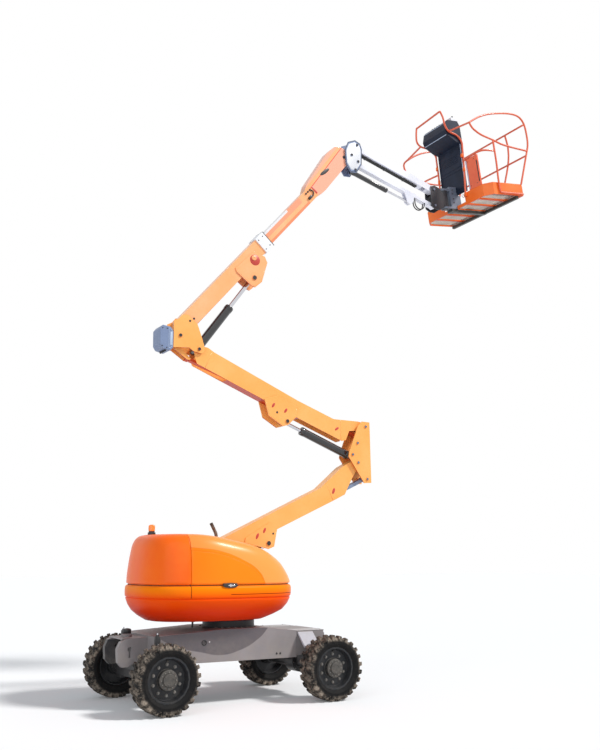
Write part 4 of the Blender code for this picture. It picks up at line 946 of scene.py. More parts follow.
for name, sign in (("near", -1), ("far", 1)):
    body = "hood_" + name
    cuts = [
        cover_body(HOOD_THICK, 1.2),
        brick(-2.0, HOOD_END, -1.3, 1.3, 1.0, 2.6),
        brick(-2.0, 1.5, *sorted((sign * HOOD_EDGE, -sign * 1.3)), 1.0, 2.6),
    ]
    hood = carved(cover_body(), cuts)
    rounded_at(hood, (1, 0, 0), HOOD_END)
    rounded_at(hood, (0, sign, 0), HOOD_EDGE)
    made = piece("hood_cover_" + name, body, hood, HOOD_PAINT, 50.0, weld=0.00001)
    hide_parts(body)

    # Oval latch on the hood's lip, hanging over the groove: black cup, bright turn handle
    side = skin_side(LATCH_X, -1.440, 0.960, 0.985)
    place = Matrix.Translation((LATCH_X, sign * (side + 0.001), 1.655)) @ outward(sign)
    mesh = bmesh.new()
    oval_slab(mesh, place, 0.115, 0.034, 0.012)
    low, high = sorted((sign * (side - 0.035), sign * (side + 0.002)))
    block(mesh, LATCH_X - 0.105, LATCH_X + 0.105, low, high, 1.668, 1.684, 0.003)
    piece("latch_cup_" + name, body, mesh, BLACK_PLASTIC, 40.0)
    mesh = bmesh.new()
    oval_slab(mesh, place @ Matrix.Translation((0.014, 0.0, 0.012)), 0.058, 0.011, 0.007, 0.004)
    lathe(mesh, [(0.0, 0.008), (0.019, 0.008), (0.019, 0.016), (0.015, 0.020), (0.0, 0.021)], 24, place)
    piece("latch_handle_" + name, body, mesh, CHROME, 40.0)

# Louvres on the far hood only; the near one is plain in the photo
mesh = bmesh.new()
for slat in range(9):
    height = LOUVRE_HIGH + slat * 0.030
    for at in range(6):
        x = LOUVRE_X + at * 0.08
        share = (height - SPLIT) / 0.60
        side = skin_side(x + 0.04, *eased_row(SHARE_ROWS, share * 3.0)[1:])
        block(mesh, x - 0.0005, x + 0.0805, side - 0.012, side + 0.006, height, height + 0.014, 0.003)
piece("hood_louvres_far", "hood_far", mesh, BLACK_PLASTIC, 40.0)

# Mast plates, deck, slew ring and what stands under the hoods
BLACK_PAINT = paint_finish("black_paint", (0.020, 0.020, 0.022), 0.40, wear=0.5, worn=(0.16, 0.155, 0.15),
                           dust=0.07, low=0.3, high=1.3, shine=0.35, peel=0.2)
ENGINE_PAINT = paint_finish("engine_grey", (0.060, 0.065, 0.070), 0.48, wear=0.5, dust=0.4, peel=0.5,
                            low=1.0, high=1.8, metallic=0.2)
dressed("turret_frame", BLACK_PAINT, 0.003)
dressed("slew_ring", BLACK_PAINT, 0.004)
dressed("engine_block", ENGINE_PAINT, 0.006)
mesh = bmesh.new()
for step in range(24):
    turn = 2 * math.pi * (step + 0.5) / 24
    spot = Vector((TURN_AXIS + 0.376 * math.cos(turn), 0.376 * math.sin(turn), 1.1304))
    hexagon(mesh, spot, Matrix.Identity(4), 0.018, 0.009)
piece("slew_ring_bolts", "chassis", mesh, STEEL_NUT, 30.0)

# Three filler caps on the engine, and two filter cans behind them
mesh = bmesh.new()
for at in range(3):
    lathe(mesh, [(0.0, 2.085), (0.045, 2.085), (0.045, 2.105), (0.030, 2.112), (0.028, 2.122),
                 (0.0, 2.124)], 24, Matrix.Translation((-0.24 + at * 0.15, -0.60, 0.0)))
for y, radius, high in ((-0.70, 0.060, 2.12), (-0.56, 0.045, 2.06)):
    lathe(mesh, [(0.0, 2.015), (radius, 2.015), (radius * 1.02, 2.03), (radius * 1.02, high - 0.02),
                 (radius * 0.8, high), (0.0, high)], 32, Matrix.Translation((-0.42, y, 0.0)))
piece("engine_filters", "turret", mesh, BLACK_PLASTIC, 35.0)


# Beacon and exhaust.
# A ribbed amber lens on a black screw base stands on the counterweight. The exhaust tail pipe is bare
# steel tube, bent back and burnt brown, welded to the mast plate.

AMBER = (1.0, 0.30, 0.012)
BEACON = Vector((-1.10, 0.19, 2.4243))
PIPE = [(-0.200, 2.1953), (-0.203, 2.29), (-0.218, 2.39), (-0.250, 2.455), (-0.300, 2.545)]
PIPE_SIDE = -0.17


def amber_finish():
    """Moulded amber plastic that glows a little from within."""
    made, tree, shader = shader_of("amber_lens_glass", 0.18, 0.0, 0.6)
    spot = set_node(tree, "ShaderNodeTexCoord").outputs["Object"]
    deep = stepped(tree, cloud(tree, spot, 30.0, 2.0), 0.3, 0.7)
    joined(tree, blended(tree, deep, AMBER, (0.90, 0.22, 0.010)), shader.inputs["Base Color"])
    shader.inputs["Transmission Weight"].default_value = 0.25
    shader.inputs["Emission Color"].default_value = (*AMBER, 1.0)
    shader.inputs["Emission Strength"].default_value = 0.12
    bumped(tree, shader, cloud(tree, spot, 160.0, 2.0), 0.05, 0.001)
    return made


def pipe_shade(tree, spot):
    """Bare steel gone rusty, with soot towards the mouth."""
    rust = stepped(tree, cloud(tree, spot, 22.0, 6.0, 0.7), 0.38, 0.66)
    soot = stepped(tree, spotted(tree, spot, 2), 2.44, 2.55)
    bare = blended(tree, rust, (0.20, 0.165, 0.14), (0.14, 0.060, 0.030))
    return blended(tree, times(tree, soot, 0.7), bare, (0.03, 0.028, 0.026))


def tube(mesh, points, radius, sides=12, smooth=4, place=Matrix.Identity(4), bore=0.0, ends=True):
    """A bent tube; smooth adds stations between the points along a curve through them."""
    spots = [tuple(point) for point in points]
    if smooth > 1 and len(spots) > 2:
        spots = [eased_row(spots, step / smooth) for step in range(smooth * (len(spots) - 1) + 1)]
    spots = [place @ Vector(spot) for spot in spots]
    ways = []
    for at, spot in enumerate(spots):
        ways.append((spots[min(at + 1, len(spots) - 1)] - spots[max(at - 1, 0)]).normalized())
    across = ways[0].orthogonal().normalized()
    rows = []
    for spot, way in zip(spots, ways):
        across = (across - way * across.dot(way)).normalized()
        other = way.cross(across)
        rows.append([mesh.verts.new(spot + radius * (
            across * math.cos(2 * math.pi * side / sides) + other * math.sin(2 * math.pi * side / sides)))
            for side in range(sides)])
    for low, high in zip(rows, rows[1:]):
        for side in range(sides):
            after = (side + 1) % sides
            mesh.faces.new((low[side], low[after], high[after], high[side]))
    if not ends:
        return
    for row, way in ((rows[0], -ways[0]), (rows[-1], ways[-1])):
        middle = sum((vert.co for vert in row), Vector()) / sides
        if bore:
            inner = [mesh.verts.new(middle + (vert.co - middle) * bore) for vert in row]
            deep = [mesh.verts.new(vert.co - way * radius * 3) for vert in inner]
            for side in range(sides):
                after = (side + 1) % sides
                mesh.faces.new((row[side], row[after], inner[after], inner[side]))
                mesh.faces.new((inner[side], inner[after], deep[after], deep[side]))
            mesh.faces.new(deep)
        else:
            rim = [mesh.verts.new(middle + (vert.co - middle) * 0.8 + way * radius * 0.12) for vert in row]
            for side in range(sides):
                after = (side + 1) % sides
                mesh.faces.new((row[side], row[after], rim[after], rim[side]))
            mesh.faces.new(rim)


RUSTY_PIPE = paint_finish("burnt_pipe", (0.18, 0.12, 0.09), 0.62, wear=0.2, dust=0.1, metallic=0.55,
                          peel=0.8, shade=pipe_shade)
mesh = bmesh.new()
tube(mesh, [(x, PIPE_SIDE, z) for x, z in PIPE], 0.025, 28, 6, bore=0.86)
for z in (2.245, 2.262):
    lathe(mesh, [(0.0245, -0.004), (0.0285, -0.004), (0.0295, 0.0), (0.0285, 0.004), (0.0245, 0.004)], 28,
          Matrix.Translation((-0.2015, PIPE_SIDE, z)))
made = piece("exhaust_tail", "turret", mesh, RUSTY_PIPE, 40.0)
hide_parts("exhaust_pipe")

dressed("beacon_base", BLACK_PLASTIC, 0.003)
mesh = bmesh.new()
ribs = lathe(mesh, [(0.0, 0.0), (0.046, 0.0), (0.048, 0.003), (0.048, 0.010), (0.0465, 0.014),
                    (0.0465, 0.072), (0.044, 0.080), (0.036, 0.090), (0.022, 0.096), (0.0, 0.0978)], 72,
             Matrix.Translation(BEACON))
for row in ribs[4:7]:
    for vert in row[::2]:
        vert.co.xy += (vert.co - BEACON).xy * 0.035
made = piece("beacon_glass", "turret", mesh, amber_finish(), 60.0)
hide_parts("beacon_lens")


# Chassis.
# A welded steel box in satin grey, painted over with one broad darker sweep on each side. Its nose
# plates carry the axle stop, and small fenders and brackets are welded and bolted on.

CHASSIS_TONE = (0.225, 0.205, 0.212)
SWEEP_TONE = (0.095, 0.083, 0.095)
SWEEP = [(-1.34, 1.12), (-1.27, 0.97), (-0.94, 0.81), (-0.63, 0.74), (-0.29, 0.685), (0.0, 0.74),
         (0.29, 0.88), (0.45, 1.03), (0.52, 1.12)]
CHASSIS_SIDE = 0.600
LOCK_X, LOCK_SIDE = -1.302, 0.665
WELD_SIDE = 0.592


def chassis_shade(tree, spot):
    """Grey, darker above the sweep on the sides, painted sky reflection on the rear's outer faces, black on a
    nose plate.
    """
    above = stepped(tree, line_over(tree, spot, SWEEP, 0.6, 1.15), -0.006, 0.006)
    x, y, z = (spotted(tree, spot, axis) for axis in range(3))
    across = sum_of(tree, y, "ABSOLUTE", 0.0)
    side = stepped(tree, across, CHASSIS_SIDE - 0.004, CHASSIS_SIDE - 0.002)
    plain = blended(tree, patches(tree, spot, 2.2, 6.0, 0.65), CHASSIS_TONE, (0.27, 0.245, 0.25))
    # Painted reflection: the rear's outer faces are drawn pale blue-grey, as the sky shows in them.
    sky_reflection = times(tree, stepped(tree, across, CHASSIS_SIDE + 0.002, CHASSIS_SIDE + 0.004),
                    stepped(tree, x, 0.80, 0.85))
    plain = blended(tree, sky_reflection, plain, (0.46, 0.47, 0.53))
    far_plate = times(tree, stepped(tree, x, -1.50, -1.52), stepped(tree, y, 0.04, 0.06))
    far_plate = times(tree, far_plate, stepped(tree, z, 0.900, 0.896))
    plain = blended(tree, far_plate, plain, (0.030, 0.030, 0.036))
    return blended(tree, times(tree, above, side), plain, SWEEP_TONE)


CHASSIS_PAINT = paint_finish("chassis_grey", CHASSIS_TONE, 0.46, wear=0.35, worn=(0.07, 0.06, 0.055),
                             dust=0.40, peel=0.15, low=0.5, high=1.2, shade=chassis_shade)
PALE_STEEL = paint_finish("pale_steel", (0.42, 0.41, 0.42), 0.35, wear=0.2, dust=0.3, metallic=0.6,
                          peel=0.1)
dressed("chassis_frame", CHASSIS_PAINT, 0.006)


def side_ring(mesh, x, side, z, outer, inner, thick, steps=28):
    """A flat washer or eyelet standing on the side plate."""
    place = Matrix.Translation((x, side * CHASSIS_SIDE, z)) @ outward(side)
    lathe(mesh, [(inner, -0.004), (outer, -0.004), (outer, thick * 0.6), (outer - 0.002, thick),
                 (inner + 0.002, thick), (inner, thick * 0.6), (inner, -0.004)], steps, place)


for name, side in (("near", -1), ("far", 1)):
    mesh = bmesh.new()
    side_ring(mesh, -0.57, side, 0.862, 0.040, 0.0275, 0.005)
    for x, z in ((-0.98, 0.66), (-0.92, 0.66), (0.60, 0.66), (0.66, 0.66)):
        place = Matrix.Translation((x, side * (CHASSIS_SIDE - 0.001), z)) @ outward(side)
        hexagon(mesh, Vector(), place, 0.022, 0.010, 0.016)
    piece("lashing_eye_" + name, "chassis", mesh, BLACK_PAINT, 35.0)
    mesh = bmesh.new()
    lathe(mesh, [(0.0, -0.002), (0.012, -0.002), (0.012, 0.004), (0.008, 0.007), (0.0, 0.008)], 16,
          Matrix.Translation((-0.49, side * CHASSIS_SIDE, 0.870)) @ outward(side))
    piece("lashing_boss_" + name, "chassis", mesh, PALE_STEEL, 40.0)

    # Axle lock cylinder over the kingpin, with its bright pin
    mesh = bmesh.new()
    middle = side * LOCK_SIDE
    block(mesh, -1.335, -1.270, middle - 0.032, middle + 0.032, 0.775, 0.985, 0.008)
    lathe(mesh, [(0.0, 0.985), (0.024, 0.985), (0.024, 1.000), (0.018, 1.006), (0.0, 1.006)], 20,
          Matrix.Translation((LOCK_X, middle, 0.0)))
    block(mesh, -1.285, -1.255, side * 0.625 - 0.045, side * 0.625 + 0.010, 0.80, 0.95, 0.004)
    piece("axle_lock_" + name, "chassis", mesh, BLACK_PAINT, 35.0)
    mesh = bmesh.new()
    lathe(mesh, [(0.0, 0.0), (0.012, 0.0), (0.012, 0.018), (0.009, 0.022), (0.0, 0.022)], 18,
          Matrix.Translation((LOCK_X, side * 0.6965, 0.875)) @ outward(side))
    tube(mesh, [(LOCK_X, middle, 1.004), (LOCK_X, middle, 1.028)], 0.009, 14, 1)
    piece("axle_lock_pin_" + name, "chassis", mesh, CHROME, 35.0)

# Knob on the nose, lock pin of the turret, bolts of its bearing on the top plate, seams of weld
mesh = bmesh.new()
lathe(mesh, [(0.0, 0.0), (0.052, 0.0), (0.060, 0.012), (0.060, 0.056), (0.050, 0.070), (0.020, 0.078),
             (0.0, 0.079)], 28, Matrix.Translation((-1.450, 0.12, 0.972)))
piece("nose_knob", "chassis", mesh, BLACK_PLASTIC, 35.0)
mesh = bmesh.new()
tube(mesh, [(-0.60, -0.25, 1.050), (-0.60, -0.25, 1.175)], 0.014, 14, 1)
block(mesh, -0.63, -0.57, -0.28, -0.22, 1.128, 1.170, 0.004)
piece("slew_lock_pin", "turret", mesh, BLACK_PLASTIC, 35.0)
mesh = bmesh.new()
for turn in range(28):
    angle = 2 * math.pi * turn / 28
    x = TURN_AXIS + 0.435 * math.cos(angle)
    if -0.28 < x < 0.39:
        top = 1.0322 + (x + 0.30) * 0.0043
        hexagon(mesh, Vector((x, 0.435 * math.sin(angle), top)), Matrix.Identity(4), 0.024, 0.013, 0.017)
piece("bearing_bolts", "chassis", mesh, STEEL_NUT, 30.0)
mesh = bmesh.new()
for side in (-1, 1):
    tube(mesh, [(x, side * WELD_SIDE, z) for x, z in (
        (-1.20, 0.965), (-0.30, 1.0290), (0.40, 1.0325), (0.93, 0.9695))], 0.006, 8, 1)
    tube(mesh, [(-1.19, side * 0.312, 0.61), (-1.19, side * 0.312, 0.95)], 0.006, 8, 1)
piece("chassis_welds", "chassis", mesh, CHASSIS_PAINT, 50.0)

# Bolted cover on the rear end, and the pale plates on the rear fenders
mesh = bmesh.new()
block(mesh, 1.5785, 1.590, -0.20, 0.20, 0.745, 0.885, 0.004)
for y in (-0.17, 0.17):
    for z in (0.770, 0.860):
        hexagon(mesh, Vector((1.589, y, z)), FACING["+X"], 0.020, 0.009, 0.014)
piece("rear_cover", "chassis", mesh, BLACK_PAINT, 35.0)
mesh = bmesh.new()
for side in (-1, 1):
    low, high = sorted((side * 0.305, side * 0.598))
    block(mesh, 0.945, 1.425, low, high, 0.9655, 0.9725, 0.002)
    for x in (1.00, 1.37):
        for y in (0.33, 0.57):
            hexagon(mesh, Vector((x, side * y, 0.9715)), Matrix.Identity(4), 0.018, 0.008, 0.012)
piece("rear_fender_plates", "chassis", mesh, PALE_STEEL, 35.0)


# Axles and steering.
# A cast front axle rocks on a middle pivot; its forks carry the kingpins. A steer cylinder and a
# track rod turn the knuckles. The rear axle is one casing with a drive housing in the middle.

STEER_X, STEER_HIGH = -1.17, 0.475
REAR_X, AXLE_HIGH = 1.30, 0.46

for node in ("front_axle", "rear_axle", "steer_knuckle_near", "steer_knuckle_far", "track_rod"):
    dressed(node, BLACK_PAINT, 0.004)
mesh = bmesh.new()
for side in (-1, 1):
    place = Matrix.Translation((-1.30, side * 0.72, 0.5945))
    lathe(mesh, [(0.0, 0.0), (0.044, 0.0), (0.044, 0.006), (0.038, 0.012), (0.0, 0.014)], 28, place)
    for turn in range(4):
        angle = math.pi * (turn + 0.5) / 2
        hexagon(mesh, Vector((0.033 * math.cos(angle), 0.033 * math.sin(angle), 0.010)), place, 0.011, 0.006)
    tube(mesh, [(STEER_X, side * 0.25, STEER_HIGH), (STEER_X, side * 0.30, STEER_HIGH)], 0.030, 20, 1)
piece("kingpin_caps", "chassis", mesh, STEEL_NUT, 35.0)
mesh = bmesh.new()
tube(mesh, [(STEER_X, -0.50, STEER_HIGH), (STEER_X, 0.50, STEER_HIGH)], 0.014, 18, 1)
piece("steer_rod", "chassis", mesh, CHROME, 40.0)
mesh = bmesh.new()
for at in range(8):
    turn = 2 * math.pi * at / 8
    spot = Vector((REAR_X + 0.128 * math.cos(turn), -0.1195, AXLE_HIGH + 0.128 * math.sin(turn)))
    hexagon(mesh, spot, FACING["-Y"], 0.018, 0.009)
    hexagon(mesh, Vector((spot.x, 0.1195, spot.z)), FACING["+Y"], 0.018, 0.009)
piece("axle_bolts", "chassis", mesh, STEEL_NUT, 30.0)
HOSE_RUBBER = paint_finish("hose_rubber", (0.020, 0.020, 0.021), 0.62, wear=0.0, dust=0.35, peel=0.5)
mesh = bmesh.new()
for side in (-1, 1):
    tube(mesh, [(-1.125, side * 0.20, 0.480), (-1.09, side * 0.20, 0.50), (-1.06, side * 0.18, 0.56),
                (-1.07, side * 0.17, 0.62)], 0.011, 10, 4)
piece("steer_hoses", "chassis", mesh, HOSE_RUBBER, 50.0)


# Riser arms and tie bars.
# Two folding arms of bent and welded steel plate in light orange, each with a level-keeping tie bar
# under it. Thicker bracket plates are welded on where the lift cylinders push.

ARM_TONE = (0.96, 0.400, 0.095)
MARK_TONE = (0.50, 0.045, 0.030)
ARM_1_FOOT = (-0.535, 2.237)
ARM_1_WAY = (math.cos(math.radians(25.0)), math.sin(math.radians(25.0)))
ARM_2_FOOT = (2.57, 4.23)
ARM_2_TOP = (-0.55, 5.21)
BOOM_FOOT = (-0.87, 5.39)
ARM_FACE, BRACKET_FACE = 0.100, 0.115
BRACKET_WELD, END_WELD = 0.1135, 0.0985


def facing_down(tree, start, full):
    """Nought where the surface's upward lean is above start, one where it is below full."""
    facing = set_node(tree, "ShaderNodeNewGeometry").outputs["Normal"]
    return stepped(tree, spotted(tree, facing, 2), start, full)


def underside_painted_shade(tone, shadow, fade):
    """Paint drawn redder and darker where it faces the ground: painted shade under the parts."""
    def shade(tree, spot):
        patched = blended(tree, patches(tree, spot, 1.6, 6.0), tone, fade)
        return blended(tree, facing_down(tree, -0.25, -0.75), patched, shadow)
    return shade


# Faces of the arms turned to the ground are drawn dark red: painted shade.
ARM_PAINT = paint_finish("arm_orange", ARM_TONE, 0.36, coat=0.12, wear=0.35, worn=(0.35, 0.08, 0.03),
                         dust=0.14, peel=0.08, low=1.5, high=2.4, shine=0.35,
                         shade=underside_painted_shade(ARM_TONE, (0.50, 0.035, 0.008), (0.97, 0.46, 0.14)))
BOLT_BLUE = paint_finish("plated_bolt", (0.16, 0.19, 0.26), 0.38, wear=0.4, dust=0.15, metallic=0.6,
                         peel=0.1)
TIE_PAINT = paint_finish("tie_blue_grey", (0.17, 0.22, 0.33), 0.45, faded=(0.24, 0.30, 0.42), wear=0.45,
                         dust=0.2, peel=0.1, low=1.5, high=2.5)
TIE_RED = paint_finish("tie_red", (0.60, 0.060, 0.012), 0.42, wear=0.3, dust=0.1, peel=0.1, low=1.5,
                       high=2.4, shine=0.3)
MARK_PAINT = paint_finish("red_cover", MARK_TONE, 0.42, wear=0.1, dust=0.1, peel=0.1)
DARK_PIN = paint_finish("dark_pin", (0.035, 0.033, 0.036), 0.38, wear=0.6, worn=(0.25, 0.24, 0.23), dust=0.2,
                        metallic=0.5, peel=0.1)
for node in ("arm_1", "arm_2", "knuckle_1", "knuckle_2"):
    dressed(node, ARM_PAINT, 0.004)
dressed("tie_1", TIE_PAINT, 0.003)
dressed("tie_2", TIE_RED, 0.003)


def on_line(foot, way, s, d):
    """(x, z) a distance s along a boom from its foot pin, and d square below it."""
    return foot[0] + way[0] * s + way[1] * d, foot[1] + way[1] * s - way[0] * d


def faced(x, side, y, z, spin=0.0):
    """A place on a plate that faces sideways: local X along the photo's right, Z out of the plate."""
    return Matrix.Translation((x, side * y, z)) @ outward(side) @ Matrix.Rotation(spin, 4, "Z")


def pin_cap(mesh, x, side, y, z, radius):
    """The end of a pivot pin: a chamfered disc with a bolt in its middle."""
    place = faced(x, side, y, z)
    lathe(mesh, [(0.0, -0.003), (radius, -0.003), (radius, 0.004), (radius * 0.9, 0.007),
                 (radius * 0.35, 0.007), (radius * 0.30, 0.004), (0.0, 0.004)], 28, place)
    hexagon(mesh, Vector((0.0, 0.0, 0.003)), place, radius * 0.5, 0.006)


def cover_mark(mesh, x, side, y, z, wide, high, spin):
    """A thin oval cover over a hole in the plate."""
    place = faced(x, side, y, z, spin) @ Matrix.Translation((0, 0, -0.001))
    oval_slab(mesh, place, wide, high, 0.003, 0.0015, 32)


def plug(mesh, x, side, z, radius):
    """A flat round plug in a bracket plate."""
    lathe(mesh, [(0.0, -0.002), (radius, -0.002), (radius, 0.003), (0.0, 0.0035)], 20,
          faced(x, side, BRACKET_FACE, z))


for name, side in (("near", -1), ("far", 1)):
    mesh = bmesh.new()
    cover_mark(mesh, 0.52, side, BRACKET_FACE, 2.365, 0.050, 0.022, -side * 1.15)
    cover_mark(mesh, 0.645, side, BRACKET_FACE, 2.455, 0.045, 0.020, -side * 1.15)
    x, z = on_line(ARM_1_FOOT, ARM_1_WAY, 2.62, 0.25)
    cover_mark(mesh, x, side, ARM_FACE, z, 0.052, 0.024, -side * 1.2)
    piece("arm_1_marks_" + name, "arm_1", mesh, MARK_PAINT, 40.0)
    mesh = bmesh.new()
    cover_mark(mesh, 0.79, side, BRACKET_FACE, 4.45, 0.045, 0.020, -side * 1.0)
    cover_mark(mesh, 1.02, side, BRACKET_FACE, 4.38, 0.045, 0.020, -side * 1.0)
    cover_mark(mesh, 2.02, side, ARM_FACE, 4.16, 0.045, 0.020, -side * 0.6)
    piece("arm_2_marks_" + name, "arm_2", mesh, MARK_PAINT, 40.0)

    mesh = bmesh.new()
    pin_cap(mesh, 0.72, side, 0.127, 2.26, 0.034)
    plug(mesh, 0.80, side, 2.41, 0.016)
    piece("arm_1_pins_" + name, "arm_1", mesh, DARK_PIN, 35.0)
    mesh = bmesh.new()
    pin_cap(mesh, 1.05, side, 0.127, 4.21, 0.030)
    plug(mesh, 0.86, side, 4.34, 0.019)
    piece("arm_2_pins_" + name, "arm_2", mesh, DARK_PIN, 35.0)
    mesh = bmesh.new()
    for x, z in (ARM_2_FOOT, (2.40, 3.94), (2.30, 3.74), (2.41, 3.61), (2.59, 3.34)):
        pin_cap(mesh, x, side, 0.164, z, 0.021)
    piece("knuckle_1_pins_" + name, "knuckle_1", mesh, BOLT_BLUE, 35.0)
    mesh = bmesh.new()
    for x, z in (ARM_2_TOP, BOOM_FOOT):
        pin_cap(mesh, x, side, 0.155, z, 0.026)
    for x, z in ((-0.65, 5.685), (-0.715, 5.64)):
        hexagon(mesh, Vector(), faced(x, side, 0.143, z), 0.024, 0.010, 0.018)
    piece("knuckle_2_pins_" + name, "knuckle_2", mesh, DARK_PIN, 35.0)
    mesh = bmesh.new()
    for z in (1.45, 1.75, 2.05):
        hexagon(mesh, Vector(), faced(-0.62, side, 0.185, z), 0.026, 0.012, 0.019)
    piece("mast_bolts_" + name, "turret", mesh, STEEL_NUT, 30.0)

# Weld seams where the bracket plates and end castings join the tubes
mesh = bmesh.new()
for side in (-1, 1):
    seam = [on_line(ARM_1_FOOT, ARM_1_WAY, 2.545, d) for d in (0.110, 0.385)]
    tube(mesh, [(x, side * END_WELD, z) for x, z in seam], 0.005, 8, 1)
    edge = [(0.34, 2.335), (0.32, 2.262), (0.64, 2.203), (0.715, 2.184), (0.808, 2.219), (0.857, 2.462)]
    tube(mesh, [(x, side * BRACKET_WELD, z) for x, z in edge], 0.0035, 8, 1)
piece("arm_1_welds", "arm_1", mesh, ARM_PAINT, 60.0)
mesh = bmesh.new()
for side in (-1, 1):
    for seam in (((2.10, 4.31), (2.10, 3.975)), ((-0.30, 5.205), (-0.42, 4.945))):
        tube(mesh, [(x, side * END_WELD, z) for x, z in seam], 0.005, 8, 1)
    edge = [(0.648, 4.532), (0.722, 4.282), (0.972, 4.137), (1.058, 4.162), (1.205, 4.296), (1.225, 4.455)]
    tube(mesh, [(x, side * BRACKET_WELD, z) for x, z in edge], 0.0035, 8, 1)
piece("arm_2_welds", "arm_2", mesh, ARM_PAINT, 60.0)


def bead_round(mesh, corners, radius, place=Matrix.Identity(4)):
    """A closed ring of straight round bars through the corners."""
    for start, stop in zip(corners, corners[1:] + corners[:1]):
        tube(mesh, [start, stop], radius, 8, 1, place)


# The blue-grey box on the upper knuckle: valves behind a pressed cover, with a pale strip
BOX_PAINT = paint_finish("valve_box_blue", (0.150, 0.205, 0.345), 0.42, faded=(0.20, 0.26, 0.41), wear=0.3,
                         dust=0.15, peel=0.1, low=1.5, high=2.5)
PALE_BLUE = paint_finish("pale_strip", (0.42, 0.50, 0.64), 0.40, wear=0.2, dust=0.1, peel=0.1)
dressed("end_box", BOX_PAINT, 0.008)
mesh = bmesh.new()
for side in (-1, 1):
    strip = [(-1.005, 5.20), (-1.005, 5.43), (-1.04, 5.475), (-1.06, 5.475), (-1.06, 5.175), (-1.04, 5.165)]
    bead_round(mesh, [(x, side * 0.1505, z) for x, z in strip], 0.0035)
    block(mesh, -1.040, -1.000, side * 0.151 - 0.0015, side * 0.151 + 0.0015, 5.215, 5.425, 0.001)
piece("valve_box_strip", "knuckle_2", mesh, PALE_BLUE, 35.0)
mesh = bmesh.new()
for side in (-1, 1):
    for x, z in ((-1.165, 5.47), (-1.165, 5.19), (-1.09, 5.47), (-1.09, 5.17)):
        hexagon(mesh, Vector(), faced(x, side, 0.1495, z), 0.016, 0.007)
for y in (-0.09, -0.03, 0.03, 0.09):
    lathe(mesh, [(0.0, -0.004), (0.020, -0.004), (0.020, 0.010), (0.014, 0.012), (0.014, 0.030),
                 (0.010, 0.032), (0.0, 0.032)], 6, Matrix.Translation((-1.095, y, 5.1485)) @ FACING["-Z"])
piece("valve_box_fittings", "knuckle_2", mesh, DARK_PIN, 35.0)


# Lift cylinders.
# Four double-acting hydraulic cylinders: black painted barrels with a cross tube welded to the foot
# and a turned gland nut at the mouth, and hard-chromed rods that slide in them.

ROD_CHROME = paint_finish("rod_chrome", (0.66, 0.66, 0.69), 0.12, wear=0.0, dust=0.05, metallic=1.0, peel=0.0,
                          faded=(0.60, 0.60, 0.64))
BARREL_PAINT = paint_finish("barrel_black", (0.014, 0.014, 0.016), 0.24, coat=0.5, wear=0.3,
                            worn=(0.2, 0.2, 0.2), dust=0.12, peel=0.08, low=1.5, high=2.4)
CYLINDERS = {
    # foot, eye, barrel radius, rod radius, barrel length
    "arm_1": ((-0.45, 1.30), (0.72, 2.26), 0.072, 0.036, 0.90),
    "arm_2": ((2.30, 3.74), (1.05, 4.21), 0.072, 0.030, 0.99),
    "boom": (ARM_2_TOP, (0.42, 6.54), 0.075, 0.036, 0.98),
    "jib": ((2.46, 8.926), (3.75, 8.62), 0.046, 0.022, 0.80),
}
for name, (foot, eye, barrel, rod, long) in CYLINDERS.items():
    body = "barrel_" + name
    way = (Vector(eye) - Vector(foot)).normalized()
    dressed("cylinder_rod_" + name, ROD_CHROME, 0.0015)
    along = Matrix.Translation((foot[0], 0.0, foot[1])) @ Vector((way[0], 0.0, way[1])).to_track_quat(
        "Z", "Y").to_matrix().to_4x4()
    mesh = bmesh.new()
    lathe(mesh, [
        (0.0, 0.010), (barrel * 0.9, 0.010), (barrel, 0.022), (barrel, 0.060), (barrel * 0.93, 0.066),
        # the gland nut and its groove
        (barrel * 0.93, long - 0.075), (barrel * 0.985, long - 0.070), (barrel * 0.985, long - 0.052),
        (barrel * 0.94, long - 0.050), (barrel * 0.94, long - 0.044), (barrel, long - 0.041),
        (barrel, long - 0.006), (barrel * 0.95, long),
        # the mouth round the rod
        (rod * 1.25, long), (rod * 1.20, long - 0.004), (rod * 1.02, long - 0.004),
        (rod * 1.02, long - 0.10), (0.0, long - 0.10)], 40, along)
    lathe(mesh, [(0.0, -barrel - 0.002), (barrel * 0.70, -barrel - 0.002), (barrel * 0.82, -barrel + 0.006),
                 (barrel * 0.82, barrel - 0.006), (barrel * 0.70, barrel + 0.002), (0.0, barrel + 0.002)], 32,
          Matrix.Translation((foot[0], 0.0, foot[1])) @ FACING["+Y"])
    made = piece("lift_barrel_" + name, body, mesh, BARREL_PAINT, 35.0)
    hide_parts("cylinder_barrel_" + name)


# Telescopic boom.
# A square main boom of folded steel with an extension that slides in it on wear pads. The white
# collar at its mouth is fixed to the boom; the extension ends in a deep welded head.

BOOM_TONE = (0.96, 0.400, 0.150)
BOOM_WAY = (0.6521, 0.7581)
COLLAR_MOUTH = 2.42
HEAD_FACE = 0.0845
HEAD_TAPER = 0.095
PANEL_WHITE = (0.78, 0.76, 0.78)


def boom_place(s, d):
    """(x, z) on the boom: s along it from its foot pin, d square below."""
    return on_line(BOOM_FOOT, BOOM_WAY, s, d)


def reach_along(tree, spot, foot, way):
    """How far a point lies from the foot along a way, both given as (x, z)."""
    from_foot = set_node(tree, "ShaderNodeVectorMath", {"operation": "SUBTRACT"})
    joined(tree, spot, from_foot.inputs[0])
    from_foot.inputs[1].default_value = (foot[0], 0.0, foot[1])
    reach = set_node(tree, "ShaderNodeVectorMath", {"operation": "DOT_PRODUCT"})
    joined(tree, from_foot.outputs[0], reach.inputs[0])
    reach.inputs[1].default_value = (way[0], 0.0, way[1])
    return reach.outputs["Value"]


